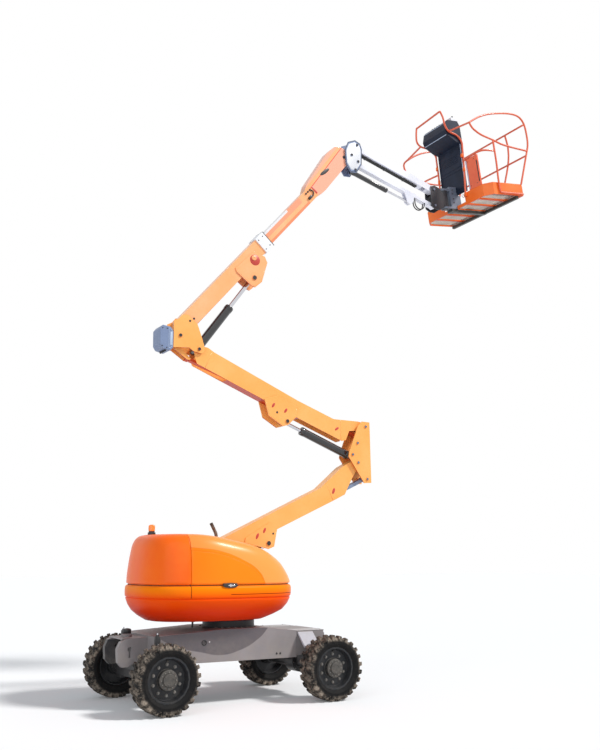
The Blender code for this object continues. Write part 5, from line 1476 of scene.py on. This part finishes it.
def extension_shade(tree, spot):
    """Orange with painted shade where it faces the ground, a white panel on the upper face by the collar, a
    darker band along the lower side painted as the shadow of a recess, and the plated-out head beyond
    them, which tapers off from the tube along a red line painted as a shadow edge."""
    s = reach_along(tree, spot, BOOM_FOOT, BOOM_WAY)
    d = reach_along(tree, spot, BOOM_FOOT, (BOOM_WAY[1], -BOOM_WAY[0]))
    # Faces turned to the ground are drawn dark red: painted shade.
    painted = underside_painted_shade(BOOM_TONE, (0.42, 0.05, 0.025), (0.97, 0.47, 0.23))(tree, spot)

    tilted = sum_of(tree, d, "ADD", times(tree, s, HEAD_TAPER))
    plated = times(tree, stepped(tree, tilted, 0.236, 0.240), stepped(tree, s, 3.85, 3.87))
    plated = sum_of(tree, plated, "MAXIMUM", stepped(tree, tilted, 0.166, 0.160))
    plated = times(tree, plated, stepped(tree, s, 3.60, 3.64))
    painted = blended(tree, plated, painted, (0.93, 0.40, 0.26))
    # Painted shadow: a red line along the edge where the head tapers off from the tube
    line = sum_of(tree, sum_of(tree, tilted, "SUBTRACT", 0.233), "ABSOLUTE", 0.0)
    line = times(tree, stepped(tree, line, 0.009, 0.005), stepped(tree, s, 3.78, 3.80))
    painted = blended(tree, line, painted, (0.72, 0.055, 0.020))

    broad = times(tree, stepped(tree, d, -0.058, -0.064), stepped(tree, s, 3.52, 3.46))
    painted = blended(tree, times(tree, broad, 0.5), painted, (0.74, 0.20, 0.15))
    # Painted shadow of the recess along the tube's lower side
    recess_shadow = times(tree, stepped(tree, d, 0.006, 0.008), stepped(tree, s, 3.62, 3.61))
    painted = blended(tree, times(tree, recess_shadow, 0.55), painted, (0.70, 0.10, 0.04))
    panel = times(tree, stepped(tree, s, 2.43, 2.432), stepped(tree, s, 3.12, 3.118))
    panel = times(tree, panel, stepped(tree, d, -0.128, -0.130))
    return blended(tree, panel, painted, PANEL_WHITE)


# Faces of the main boom turned to the ground are drawn dark red: painted shade.
BOOM_PAINT = paint_finish("boom_orange", BOOM_TONE, 0.34, coat=0.3, wear=0.35, worn=(0.35, 0.08, 0.03),
                          dust=0.12, peel=0.08, low=1.5, high=2.4, shine=0.35,
                          shade=underside_painted_shade(BOOM_TONE, (0.50, 0.035, 0.008), (0.97, 0.47, 0.23)))
EXTENSION_PAINT = paint_finish("extension_orange", BOOM_TONE, 0.32, coat=0.3, wear=0.3,
                               worn=(0.35, 0.08, 0.03), dust=0.1, peel=0.08, low=1.5, high=2.4,
                               shade=extension_shade)
WHITE_PAINT = paint_finish("collar_white", (0.74, 0.75, 0.79), 0.36, wear=0.4, worn=(0.20, 0.19, 0.19),
                           dust=0.12, peel=0.1, low=1.5, high=2.4)
dressed("main_boom", BOOM_PAINT, 0.005)
dressed("boom_extension", EXTENSION_PAINT, 0.005)
dressed("boom_collar", WHITE_PAINT, 0.004)

boom_turn = Matrix.Rotation(-math.atan2(BOOM_WAY[1], BOOM_WAY[0]), 4, "Y")


def on_boom(s, y, d):
    """A place on the boom: local X runs along it, Y across, Z square above it."""
    x, z = boom_place(s, d)
    return Matrix.Translation((x, y, z)) @ boom_turn


# Black wiper frame at the collar's mouth, wear-pad screws round it
mesh = bmesh.new()
for low, high in ((-0.2075, -0.1695), (0.0575, 0.0955)):
    middle, half = (low + high) / 2, (high - low) / 2
    block(mesh, -0.0005, 0.013, -0.118, 0.118, -half, half, 0.003, on_boom(COLLAR_MOUTH, 0.0, middle))
for side in (-1, 1):
    block(mesh, -0.0005, 0.013, -0.0145, 0.0145, -0.150, 0.150, 0.003,
          on_boom(COLLAR_MOUTH, side * 0.1035, -0.056))
piece("boom_wiper", "main_boom", mesh, RUBBER_SEAL, 35.0)
mesh = bmesh.new()
for side in (-1, 1):
    for s in (2.26, 2.37):
        for d in (-0.150, 0.040):
            hexagon(mesh, Vector(), on_boom(s, side * 0.117, d) @ outward(side), 0.017, 0.007, 0.012)
piece("wear_pad_screws", "main_boom", mesh, STEEL_NUT, 30.0)

# Round recess over the cylinder's bracket drawn as a dark red disc of painted shade, with its boss, pin ends
# and welds
for name, side in (("near", -1), ("far", 1)):
    mesh = bmesh.new()
    lathe(mesh, [(0.0, -0.002), (0.092, -0.002), (0.092, 0.002), (0.089, 0.004), (0.0, 0.004)], 40,
          faced(0.425, side, BRACKET_FACE, 6.845))
    piece("boom_recess_shade_" + name, "main_boom", mesh, MARK_PAINT, 35.0)
    mesh = bmesh.new()
    lathe(mesh, [(0.0, 0.003), (0.044, 0.003), (0.044, 0.010), (0.038, 0.014), (0.016, 0.015),
                 (0.013, 0.011), (0.0, 0.011)], 32, faced(0.405, side, BRACKET_FACE, 6.875))
    piece("boom_boss_" + name, "main_boom", mesh, BOOM_PAINT, 35.0)
    mesh = bmesh.new()
    pin_cap(mesh, 0.42, side, 0.127, 6.54, 0.036)
    x, z = boom_place(4.86, -0.085)
    lathe(mesh, [(0.0, -0.002), (0.030, -0.002), (0.030, 0.004), (0.024, 0.007), (0.0, 0.007)], 24,
          faced(x, side, 0.085, z))
    piece("boom_pins_" + name, "main_boom", mesh, DARK_PIN, 35.0)
mesh = bmesh.new()
for side in (-1, 1):
    edge = [(0.092, 6.652), (0.115, 6.594), (0.366, 6.420), (0.436, 6.400), (0.546, 6.500), (0.638, 6.838)]
    tube(mesh, [(x, side * BRACKET_WELD, z) for x, z in edge], 0.0035, 8, 1)
    seam = [boom_place(s, 0.0735) for s in (0.30, 2.20)]
    tube(mesh, [(x, side * 0.098, z) for x, z in seam], 0.004, 8, 1)
piece("boom_welds", "main_boom", mesh, BOOM_PAINT, 60.0)

# Head of the extension: a black oval as the painted shade of its slot, hose fittings and a red band where the
# tube is plated out
mesh = bmesh.new()
for side in (-1, 1):
    place = on_boom(4.30, side * HEAD_FACE, -0.150) @ outward(side) @ Matrix.Rotation(side * 0.13, 4, "Z")
    oval_slab(mesh, place @ Matrix.Translation((0, 0, -0.001)), 0.125, 0.032, 0.003, 0.001, 32)
piece("head_slot_shades", "extension", mesh, BLACK_PLASTIC, 35.0)
mesh = bmesh.new()
for side in (-1, 1):
    for s in (3.66, 3.72, 3.78):
        lathe(mesh, [(0.0, -0.002), (0.017, -0.002), (0.017, 0.010), (0.013, 0.013), (0.013, 0.022),
                     (0.0, 0.023)], 6, on_boom(s, side * HEAD_FACE, -0.120) @ outward(side))
    pipe = [boom_place(s, d) for s, d in (
        (3.70, -0.02), (3.74, -0.008), (3.79, -0.03), (3.81, -0.07), (3.79, -0.11))]
    tube(mesh, [(x, side * 0.098, z) for x, z in pipe], 0.010, 10, 4)
    low, high = sorted((side * 0.083, side * 0.116))
    block(mesh, -0.045, 0.045, low, high, -0.024, 0.024, 0.006, on_boom(3.675, 0.0, -0.022))
piece("head_fittings", "extension", mesh, DARK_PIN, 30.0)
mesh = bmesh.new()
for side in (-1, 1):
    block(mesh, -0.018, 0.018, -0.0025, 0.0025, -0.075, 0.075, 0.001, on_boom(3.86, side * 0.0855, -0.060))
piece("head_bands", "extension", mesh, MARK_PAINT, 35.0)


# Jib and platform head.
# The jib is a pale steel tube with a level-keeping link under it, both pinned between the plates of
# the jib base and of the turning head. Hoses run under the tube and loop free at the head.

JIB_FOOT, JIB_TOP = (2.50, 9.42), (4.30, 8.97)
LINK_FOOT, LINK_TOP = (2.52, 9.10), (4.32, 8.65)
JIB_PAINT = paint_finish("jib_white", (0.76, 0.77, 0.86), 0.34, wear=0.3, worn=(0.25, 0.24, 0.26),
                         dust=0.12, peel=0.1, low=1.5, high=2.4, coat=0.2)
dressed("jib", JIB_PAINT, 0.004)
dressed("jib_link", JIB_PAINT, 0.003)
dressed("jib_base", BOX_PAINT, 0.003)
HEAD_PAINT = paint_finish("head_grey", (0.026, 0.028, 0.034), 0.42, shine=0.35, wear=0.45,
                          worn=(0.22, 0.22, 0.24), dust=0.15, peel=0.15, low=1.5, high=2.5, metallic=0.1)
dressed("jib_head", HEAD_PAINT, 0.003)
JIB_PLATE = [
    (2.24, 9.28), (2.31, 9.44), (2.46, 9.51), (2.57, 9.47), (2.61, 9.36), (2.60, 9.06),
    (2.49, 8.88), (2.36, 8.865), (2.26, 9.00),
]


def plate_ring(share, y):
    """The jib plate's outline drawn in towards its middle, at y."""
    middle = Vector((2.43, 9.19))
    knots = [middle + (Vector(knot) - middle) * share for knot in JIB_PLATE]
    return [(knot.x, y, knot.y) for knot in knots]


for name, side in (("near", -1), ("far", 1)):
    # Black edge bead and the raised white cover inside it
    mesh = bmesh.new()
    bead_round(mesh, plate_ring(0.965, side * 0.1155), 0.005)
    piece("jib_plate_edge_" + name, "jib_base", mesh, BLACK_PLASTIC, 60.0)
    mesh = bmesh.new()
    face = [mesh.verts.new(knot) for knot in plate_ring(0.84, side * 0.1185)]
    foot = [mesh.verts.new(knot) for knot in plate_ring(0.86, side * 0.1145)]
    mesh.faces.new(face)
    mesh.faces.new(foot)
    for at in range(len(face)):
        after = (at + 1) % len(face)
        mesh.faces.new((face[at], face[after], foot[after], foot[at]))
    piece("jib_plate_cover_" + name, "jib_base", mesh, WHITE_PAINT, 35.0)
    mesh = bmesh.new()
    for x, z in (JIB_FOOT, LINK_FOOT, (2.38, 9.20), (2.46, 8.926)):
        pin_cap(mesh, x, side, 0.128, z, 0.024)
    piece("jib_base_pins_" + name, "jib_base", mesh, DARK_PIN, 35.0)
    mesh = bmesh.new()
    for x, z in (JIB_TOP, LINK_TOP):
        pin_cap(mesh, x, side, 0.107, z, 0.024)
    piece("jib_head_pins_" + name, "jib_head", mesh, BOLT_BLUE, 35.0)

# Three hoses run along under the tube, held by clips
HOSE, HOSE_DEEP, HOSE_SIDES = 0.011, 0.081, (-0.028, 0.0, 0.028)
HOSE_START, HOSE_STOP = 0.16, 1.50
jib_way = (Vector(JIB_TOP) - Vector(JIB_FOOT)).normalized()
mesh = bmesh.new()
for y in HOSE_SIDES:
    route = [on_line(JIB_FOOT, jib_way, HOSE_START + (HOSE_STOP - HOSE_START) * step / 6, HOSE_DEEP)
             for step in range(7)]
    tube(mesh, [(x, y, z) for x, z in route], HOSE, 10, 3)
piece("jib_hoses", "jib", mesh, HOSE_RUBBER, 50.0)
mesh = bmesh.new()
for s in (0.3, 0.75, 1.2):
    x, z = on_line(JIB_FOOT, jib_way, s, HOSE_DEEP)
    place = Matrix.Translation((x, 0.0, z)) @ Matrix.Rotation(-math.atan2(jib_way[1], jib_way[0]), 4, "Y")
    reach = HOSE_SIDES[-1] + HOSE + 0.006
    block(mesh, -0.014, 0.014, -reach, reach, -0.0115, 0.0115, 0.003, place)
piece("jib_hoses_clips", "jib", mesh, BLACK_PLASTIC, 35.0)

# Two hoses leave the link's clamp, hang in a free loop and go back in at the head's end of the link
LOOP_WIDE = 0.022
LOOP = [
    (3.880, 8.735), (3.880, 8.700), (3.881, 8.665), (3.884, 8.630), (3.893, 8.596), (3.911, 8.566),
    (3.937, 8.543), (3.969, 8.530), (4.003, 8.527), (4.037, 8.535), (4.066, 8.553), (4.089, 8.579),
    (4.102, 8.611), (4.107, 8.645), (4.108, 8.672), (4.108, 8.692),
]
for name, y in (("near", -0.027), ("far", 0.027)):
    knots = [(x, y, z) for x, z in LOOP]
    path = [eased_row(knots, step / 3) for step in range(3 * (len(knots) - 1) + 1)]
    mesh = bmesh.new()
    tube(mesh, path, LOOP_WIDE / 2, 12, 1)
    made = piece("jib_hose_loop_" + name, "jib_link", mesh, HOSE_RUBBER, 60.0)
mesh = bmesh.new()
for x, z in ((3.880, 8.738), (4.108, 8.690)):
    block(mesh, x - 0.020, x + 0.020, -0.0495, 0.0495, z - 0.002, z + 0.022, 0.004)
piece("link_hose_clamps", "jib_link", mesh, BLACK_PLASTIC, 35.0)


# Platform floor and toe board.
# A folded toe board painted orange-red runs round a floor of galvanised bar grating, which lies on
# welded cross bars. The whole floor stands tilted by nine degrees, as in the photo. On the platform a
# place is given as distance forward from the floor's rear edge, sideways, and height above the floor.

PLATFORM_SPOT, PLATFORM_TILT = (4.91, 8.71), math.radians(-9.0)
PLATFORM = Matrix.Translation((PLATFORM_SPOT[0], 0.0, PLATFORM_SPOT[1])) @ Matrix.Rotation(
    PLATFORM_TILT, 4, "Y")
FLOOR_DEEP, FLOOR_SIDE, TOE_HIGH, CORNER = 0.90, 0.95, 0.23, 0.14
TOE_TONE = (0.94, 0.150, 0.016)
SUPPORT_TONE = (0.12, 0.145, 0.20)
BAR_PITCH, ROD_PITCH = 0.030, 0.045


def toe_shade(tree, spot):
    """Patchy orange-red; faces turned to the ground, such as the bars under the floor, are drawn darker red
    as painted shade.
    """
    patched = blended(tree, patches(tree, spot, 3.0), TOE_TONE, (0.96, 0.20, 0.035))
    # Painted shade: darker red where the faces turn to the ground
    return blended(tree, facing_down(tree, -0.4, -0.8), patched, (0.55, 0.05, 0.02))


TOE_PAINT = paint_finish("toe_board_orange", TOE_TONE, 0.38, wear=0.5, worn=(0.30, 0.07, 0.04), dust=0.1,
                         peel=0.1, low=1.5, high=2.5, shade=toe_shade, shine=0.35)
GRATING = paint_finish("galvanised_grating", (0.40, 0.385, 0.35), 0.5, faded=(0.52, 0.50, 0.46), wear=0.2,
                       dust=0.3, metallic=0.35, peel=0.3, low=1.5, high=2.5)
dressed("platform_floor", TOE_PAINT, 0.003)


# A rolled bead along the toe board's top edge, open at the rear where the controls stand
mesh = bmesh.new()
inset, bead_high = 0.008, TOE_HIGH - 0.001
rear, front, side = inset, FLOOR_DEEP - inset, FLOOR_SIDE - inset
rim = [(rear, -0.312), (rear, CORNER - side), (rear + CORNER, -side), (front, -side), (front, side),
       (rear + CORNER, side), (rear, side - CORNER), (rear, 0.312)]
for start, stop in zip(rim, rim[1:]):
    tube(mesh, [(*start, bead_high), (*stop, bead_high)], 0.0078, 10, 1, PLATFORM)
piece("toe_board_bead", "platform", mesh, TOE_PAINT, 50.0)

# Grating: flat bars from front to rear with round rods across them
mesh = bmesh.new()
bar_reach, bar_inset = 0.930, 0.018
for at in range(int(2 * bar_reach / BAR_PITCH) + 1):
    y = -bar_reach + at * BAR_PITCH
    start = bar_inset + max(0.0, abs(y) - (FLOOR_SIDE - bar_inset - CORNER))
    block(mesh, start, FLOOR_DEEP - bar_inset, y - 0.0022, y + 0.0022, 0.0326, 0.0448, 0.0, PLATFORM)
for at in range(int(0.86 / ROD_PITCH) + 1):
    u = 0.035 + at * ROD_PITCH
    reach = min(0.932, FLOOR_SIDE - bar_inset - max(0.0, bar_inset + CORNER - u))
    tube(mesh, [(u, -reach, 0.0415), (u, reach, 0.0415)], 0.0030, 6, 1, PLATFORM, ends=False)
made = piece("floor_bar_grating", "platform", mesh, GRATING, 30.0, weld=0)
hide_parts("floor_grating")


def support_shade(tree, spot):
    """Blue-grey above the floor; the beams under it are drawn near black as painted shade."""
    height = reach_along(tree, spot, PLATFORM_SPOT, (math.sin(PLATFORM_TILT), math.cos(PLATFORM_TILT)))
    above = stepped(tree, height, -0.004, 0.004)
    patched = blended(tree, patches(tree, spot, 5.0), SUPPORT_TONE, (0.17, 0.20, 0.26))
    # Painted shade: near black under the floor.
    return blended(tree, above, (0.035, 0.034, 0.030), patched)


SUPPORT_PAINT = paint_finish("support_blue_grey", SUPPORT_TONE, 0.42, wear=0.45, worn=(0.3, 0.3, 0.31),
                             dust=0.15, peel=0.1, low=1.5, high=2.5, shade=support_shade)
dressed("platform_support", SUPPORT_PAINT, 0.004)

# Ends of the upright turning shaft that carries the platform, and the bolts of its bracket
mesh = bmesh.new()
turner = PLATFORM @ Matrix.Translation((-0.27, 0.0, 0.0))
lathe(mesh, [(0.0, -0.012), (0.050, -0.012), (0.060, -0.004), (0.060, -0.0005), (0.0, -0.0005)], 32, turner)
lathe(mesh, [(0.0, 0.4005), (0.060, 0.4005), (0.060, 0.410), (0.050, 0.418), (0.030, 0.418),
             (0.028, 0.412), (0.0, 0.412)], 32, turner)
for turn in range(6):
    angle = math.pi * turn / 3
    hexagon(mesh, Vector((0.045 * math.cos(angle), 0.045 * math.sin(angle), 0.414)), turner, 0.014, 0.008)
for side in (-1, 1):
    for h in (0.12, 0.20, 0.30, 0.38):
        place = PLATFORM @ Matrix.Translation((-0.078, side * 0.0745, h)) @ outward(side)
        hexagon(mesh, Vector(), place, 0.020, 0.010, 0.014)
piece("rotator_bolts", "platform", mesh, DARK_PIN, 30.0)


# Rails.
# Round steel tube, bent and welded: a hoop at each end, a post each side of the controls, two rails
# along the front. The far end's rail is bent further out than the near one's, as in the photo.

RAIL = 0.018
RAIL_TONE = (0.72, 0.095, 0.030)
POST_SIDE, MID_HIGH = 0.36, 0.862
FRONT_POST_SIDE, SKID_SIDE = 0.45, 0.970
HOOP = [
    (-0.21, 1.375), (0.03, 1.50), (0.29, 1.59), (0.60, 1.645), (0.93, 1.67), (1.14, 1.63),
    (1.25, 1.50), (1.277, 1.27), (1.257, 1.06), (1.165, 0.84), (0.892, 0.240),
]
END_RAILS = {
    -1: [(-0.21, 1.375), (-0.18, 1.31), (-0.12, 1.245), (0.05, 1.155), (0.33, 1.08), (0.61, 1.00),
         (1.21, 0.935)],
    1: [(-0.21, 1.375), (-0.29, 1.31), (-0.31, 1.22), (-0.255, 1.10), (-0.03, 0.985), (0.33, 0.91),
        (1.19, 0.90)],
}
FRONT_POST = [(1.22, 1.47), (1.25, 1.20), (1.17, 0.84), (0.893, 0.240)]
REAR_POSTS = {
    -1: [(-0.008, 0.2303), (-0.008, 0.28), (0.05, 0.70), (0.095, 1.12), (0.10, 1.27), (0.0, 1.39),
         (-0.19, 1.455), (-0.265, 1.57), (-0.285, 1.72), (-0.335, 1.845)],
    1: [(-0.008, 0.2303), (-0.008, 0.28), (0.03, 0.70), (0.045, 1.12), (0.035, 1.27), (-0.12, 1.385),
        (-0.31, 1.425), (-0.39, 1.51), (-0.38, 1.66), (-0.345, 1.80)],
}


def rail(mesh, points, smooth=4):
    """One bent rail on the platform."""
    tube(mesh, points, RAIL, 16, smooth, PLATFORM)


RAIL_PAINT = paint_finish("rail_red", RAIL_TONE, 0.36, faded=(0.78, 0.14, 0.06), wear=0.45,
                          worn=(0.25, 0.06, 0.04), dust=0.12, peel=0.08, low=1.5, high=2.5, coat=0.2)
mesh = bmesh.new()
for side in (-1, 1):
    end = END_RAILS[side]
    rail(mesh, [(u, side * FLOOR_SIDE, h) for u, h in HOOP])
    rail(mesh, [(u, side * FLOOR_SIDE, h) for u, h in end])
    corner = REAR_POSTS[side][6]
    rail(mesh, [(end[0][0], side * FLOOR_SIDE, end[0][1]), (corner[0], side * POST_SIDE, corner[1])])
    rail(mesh, [(u, side * FRONT_POST_SIDE, h) for u, h in FRONT_POST])
    # Upright at the end that runs down past the floor and forward under its edge
    high = end[4][1] if side < 0 else end[5][1]
    foot = [(0.28, 0.30), (0.28, 0.09), (0.295, 0.045), (0.34, 0.03), (0.88, 0.03)]
    rail(mesh, [(0.33, side * FLOOR_SIDE, high), (0.305, side * 0.968, 0.62),
                *((u, side * SKID_SIDE, h) for u, h in foot)], 3)
    rail(mesh, [(0.05, side * POST_SIDE, MID_HIGH), (0.0, side * 0.74, MID_HIGH),
                (0.06, side * 0.92, MID_HIGH), (0.315, side * FLOOR_SIDE, MID_HIGH)])
near_post = [(u, -POST_SIDE, h) for u, h in REAR_POSTS[-1]]
far_post = [(u, POST_SIDE, h) for u, h in reversed(REAR_POSTS[1])]
rail(mesh, near_post)
rail(mesh, far_post)
rail(mesh, [near_post[-1], far_post[0]], 1)
rail(mesh, [(1.22, -FLOOR_SIDE, 1.47), (1.22, FLOOR_SIDE, 1.47)], 1)
rail(mesh, [(1.17, -FLOOR_SIDE, 0.84), (1.17, FLOOR_SIDE, 0.84)], 1)
made = piece("platform_tube_rails", "platform", mesh, RAIL_PAINT, 50.0, weld=0)
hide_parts("platform_rails")

# Foot plates of the posts, gate hinges and line anchor eyes
mesh = bmesh.new()
for side, hinge in ((-1, 0.05), (1, 0.03)):
    low, high = side * POST_SIDE - 0.030, side * POST_SIDE + 0.030
    block(mesh, -0.030, -0.0005, low, high, 0.150, 0.2295, 0.003, PLATFORM)
    low, high = side * FRONT_POST_SIDE - 0.030, side * FRONT_POST_SIDE + 0.030
    block(mesh, 0.872, 0.8995, low, high, 0.2305, 0.239, 0.002, PLATFORM)
    for h in (0.70, 0.98):
        place = Matrix.Translation((hinge, side * POST_SIDE, h)) @ Matrix.Rotation(0.12, 4, "Y")
        lathe(mesh, [(0.0, -0.035), (0.024, -0.035), (0.026, -0.030), (0.026, 0.030), (0.024, 0.035),
                     (0.0, 0.035)], 20, PLATFORM @ place)
piece("rail_feet", "platform", mesh, TOE_PAINT, 35.0)
mesh = bmesh.new()
for side in (-1, 1):
    turns = [2 * math.pi * step / 20 for step in range(21)]
    eye = [(-0.03 + 0.030 * math.cos(turn), side * 0.30, 0.180 + 0.030 * math.sin(turn)) for turn in turns]
    tube(mesh, eye, 0.006, 8, 1, PLATFORM)
piece("line_anchor_eyes", "platform", mesh, PALE_STEEL, 60.0)


# Controls.
# A moulded navy panel and desk carry the platform controls behind a guard rail. A white box with the
# lever stands on top. The folded rear panel beside it closes the gap to the gate.

NAVY_TONE = (0.008, 0.013, 0.028)
CONSOLE_BACK = [(0.03, 0.28), (0.085, 1.26)]
DESK_HIGH, BOX_HIGH = 1.70, 1.780


def navy_shade(tree, spot):
    return blended(tree, patches(tree, spot, 4.0), NAVY_TONE, (0.014, 0.022, 0.046))


def plastic_relief(tree, spot):
    """The fine grain of a moulding."""
    return times(tree, cloud(tree, spot, 140.0, 3.0), 0.0006)


NAVY_PLASTIC = paint_finish("navy_moulding", NAVY_TONE, 0.45, shine=0.2, wear=0.15, dust=0.04, peel=0.1,
                            low=1.5, high=2.5, shade=navy_shade, relief=plastic_relief)
PANEL_RED = paint_finish("rear_panel_red", (0.80, 0.105, 0.030), 0.36, faded=(0.86, 0.16, 0.06), wear=0.35,
                         worn=(0.3, 0.06, 0.04), dust=0.12, peel=0.1, low=1.5, high=2.5, coat=0.2)
BOX_WHITE = paint_finish("control_box_white", (0.72, 0.73, 0.78), 0.40, wear=0.2, dust=0.1, peel=0.15,
                         low=1.5, high=2.5)
dressed("console", NAVY_PLASTIC, 0.008)
dressed("control_box", BOX_WHITE, 0.006)
dressed("rear_panel", PANEL_RED, 0.003)

# Ribs and a framed cover on the back of the console, and its pale edge strip
mesh = bmesh.new()
(foot_u, foot_h), (top_u, top_h) = CONSOLE_BACK
lean = Matrix.Rotation(math.atan2(top_u - foot_u, top_h - foot_h), 4, "Y")
back = PLATFORM @ Matrix.Translation((foot_u, 0.0, foot_h)) @ lean
for low, high in ((0.09, 0.46), (0.52, 0.90)):
    bead_round(mesh, [(-0.001, y, h) for y, h in (
        (-0.30, low), (0.30, low), (0.30, high), (-0.30, high))], 0.006, back)
for at in range(5):
    block(mesh, -0.007, 0.002, -0.20, 0.20, 0.64 + at * 0.035, 0.654 + at * 0.035, 0.002, back)
for y in (-0.27, 0.27):
    for h in (0.12, 0.43, 0.55, 0.87):
        hexagon(mesh, Vector(), back @ Matrix.Translation((-0.001, y, h)) @ FACING["-X"], 0.014, 0.006)
piece("console_ribs", "platform", mesh, NAVY_PLASTIC, 40.0)
mesh = bmesh.new()
tube(mesh, [(-0.232, -0.325, 1.400), (-0.232, 0.325, 1.400)], 0.007, 10, 1, PLATFORM)
tube(mesh, [(-0.205, -0.325, 1.652), (-0.205, 0.325, 1.652)], 0.007, 10, 1, PLATFORM)
block(mesh, -0.004, 0.004, -0.335, -0.318, 0.02, 0.96, 0.002, back)
piece("console_strips", "platform", mesh, PALE_BLUE, 40.0)

# Desk: lever gates, knobs and the stop button under a guard bar
mesh = bmesh.new()
for y, r in ((0.05, 0.020), (0.12, 0.020), (0.19, 0.020), (0.26, 0.024)):
    lathe(mesh, [(0.0, -0.003), (r, -0.003), (r, 0.004), (r * 0.7, 0.012), (r * 0.35, 0.016),
                 (r * 0.30, 0.050), (r * 0.62, 0.058), (r * 0.70, 0.070), (r * 0.5, 0.080), (0.0, 0.083)],
          20, PLATFORM @ Matrix.Translation((-0.02, y, DESK_HIGH)))
for at in range(4):
    lathe(mesh, [(0.0, -0.002), (0.010, -0.002), (0.010, 0.006), (0.0065, 0.009), (0.005, 0.024),
                 (0.0, 0.025)], 14, PLATFORM @ Matrix.Translation((-0.105, 0.03 + at * 0.065, DESK_HIGH)))
piece("console_levers", "platform", mesh, BLACK_PLASTIC, 40.0)
STOP_RED = paint_finish("stop_button_red", (0.55, 0.020, 0.015), 0.25, wear=0.1, dust=0.05, peel=0.05,
                        coat=0.4)
mesh = bmesh.new()
lathe(mesh, [(0.0, -0.002), (0.012, -0.002), (0.012, 0.016), (0.022, 0.019), (0.023, 0.024),
             (0.018, 0.030), (0.0, 0.032)], 28, PLATFORM @ Matrix.Translation((-0.10, -0.28, DESK_HIGH)))
piece("stop_button", "platform", mesh, STOP_RED, 40.0)
mesh = bmesh.new()
tube(mesh, [(0.085, 0.015, 1.698), (0.085, 0.015, 1.775), (0.080, 0.025, 1.800), (0.080, 0.310, 1.800),
            (0.085, 0.325, 1.775), (0.085, 0.325, 1.698)], 0.008, 12, 4, PLATFORM)
piece("lever_guard", "platform", mesh, BLACK_PAINT, 50.0)

# White box: the lever's grip over its rubber boot, buttons and screws
mesh = bmesh.new()
lathe(mesh, [(0.0, -0.010), (0.013, -0.008), (0.017, 0.0), (0.016, 0.012), (0.010, 0.020), (0.0, 0.022)], 24,
      PLATFORM @ Matrix.Translation((0.135, -0.18, 1.855)))
lathe(mesh, [(0.026, 0.0), (0.024, 0.006), (0.020, 0.012), (0.022, 0.017), (0.017, 0.024),
             (0.019, 0.029), (0.0125, 0.038), (0.0, 0.038)], 28,
      PLATFORM @ Matrix.Translation((0.101, -0.18, BOX_HIGH - 0.0003)))
piece("joystick_grip", "platform", mesh, BLACK_PLASTIC, 45.0)
mesh = bmesh.new()
for u, y, wide in ((0.01, -0.265, 0.011), (0.01, -0.235, 0.011), (0.01, -0.105, 0.009)):
    lathe(mesh, [(0.0, -0.001), (wide, -0.001), (wide, 0.005), (wide * 0.7, 0.008), (0.0, 0.009)], 18,
          PLATFORM @ Matrix.Translation((u, y, BOX_HIGH)))
for y in (-0.300, -0.070):
    for u in (-0.020, 0.130):
        lathe(mesh, [(0.0, -0.001), (0.005, -0.001), (0.005, 0.002), (0.0, 0.0028)], 12,
              PLATFORM @ Matrix.Translation((u, y, BOX_HIGH)))
piece("box_buttons", "platform", mesh, STEEL_NUT, 40.0)

# Rear panel: a folded lip round it, a blue-grey strip, and a black strip down it as the painted shade of a
# slot
mesh = bmesh.new()
bead_round(mesh, [(0.0, -0.785, 0.24), (0.0, -0.475, 0.24), (0.0, -0.475, 0.83), (0.0, -0.785, 0.83)],
           0.0055, PLATFORM)
piece("rear_panel_lip", "platform", mesh, PANEL_RED, 50.0)
mesh = bmesh.new()
block(mesh, -0.009, 0.001, -0.500, -0.480, 0.255, 0.815, 0.003, PLATFORM)
piece("rear_panel_strip", "platform", mesh, PALE_BLUE, 35.0)
mesh = bmesh.new()
block(mesh, -0.005, 0.001, -0.775, -0.753, 0.31, 0.73, 0.003, PLATFORM)
for y, h in ((-0.70, 0.30), (-0.70, 0.78), (-0.53, 0.30), (-0.53, 0.78)):
    hexagon(mesh, Vector(), PLATFORM @ Matrix.Translation((0.0, y, h)) @ FACING["-X"], 0.014, 0.006)
piece("rear_panel_slot_shade_and_screws", "platform", mesh, BLACK_PLASTIC, 35.0)

# Foot switch on the floor behind the controls: a base, and a tilted tread with ribs across it
mesh = bmesh.new()
hinge = Matrix.Translation((0.37, 0.0, 0.06))
tread = PLATFORM @ hinge @ Matrix.Rotation(-0.10, 4, "Y") @ hinge.inverted()
block(mesh, 0.30, 0.46, -0.07, 0.07, 0.0453, 0.062, 0.004, PLATFORM)
block(mesh, 0.31, 0.43, -0.055, 0.055, 0.060, 0.072, 0.004, tread)
for at in range(6):
    start = 0.325 + at * 0.017
    block(mesh, start, start + 0.006, -0.045, 0.045, 0.070, 0.0755, 0.001, tread)
piece("foot_switch", "platform", mesh, BLACK_PLASTIC, 35.0)
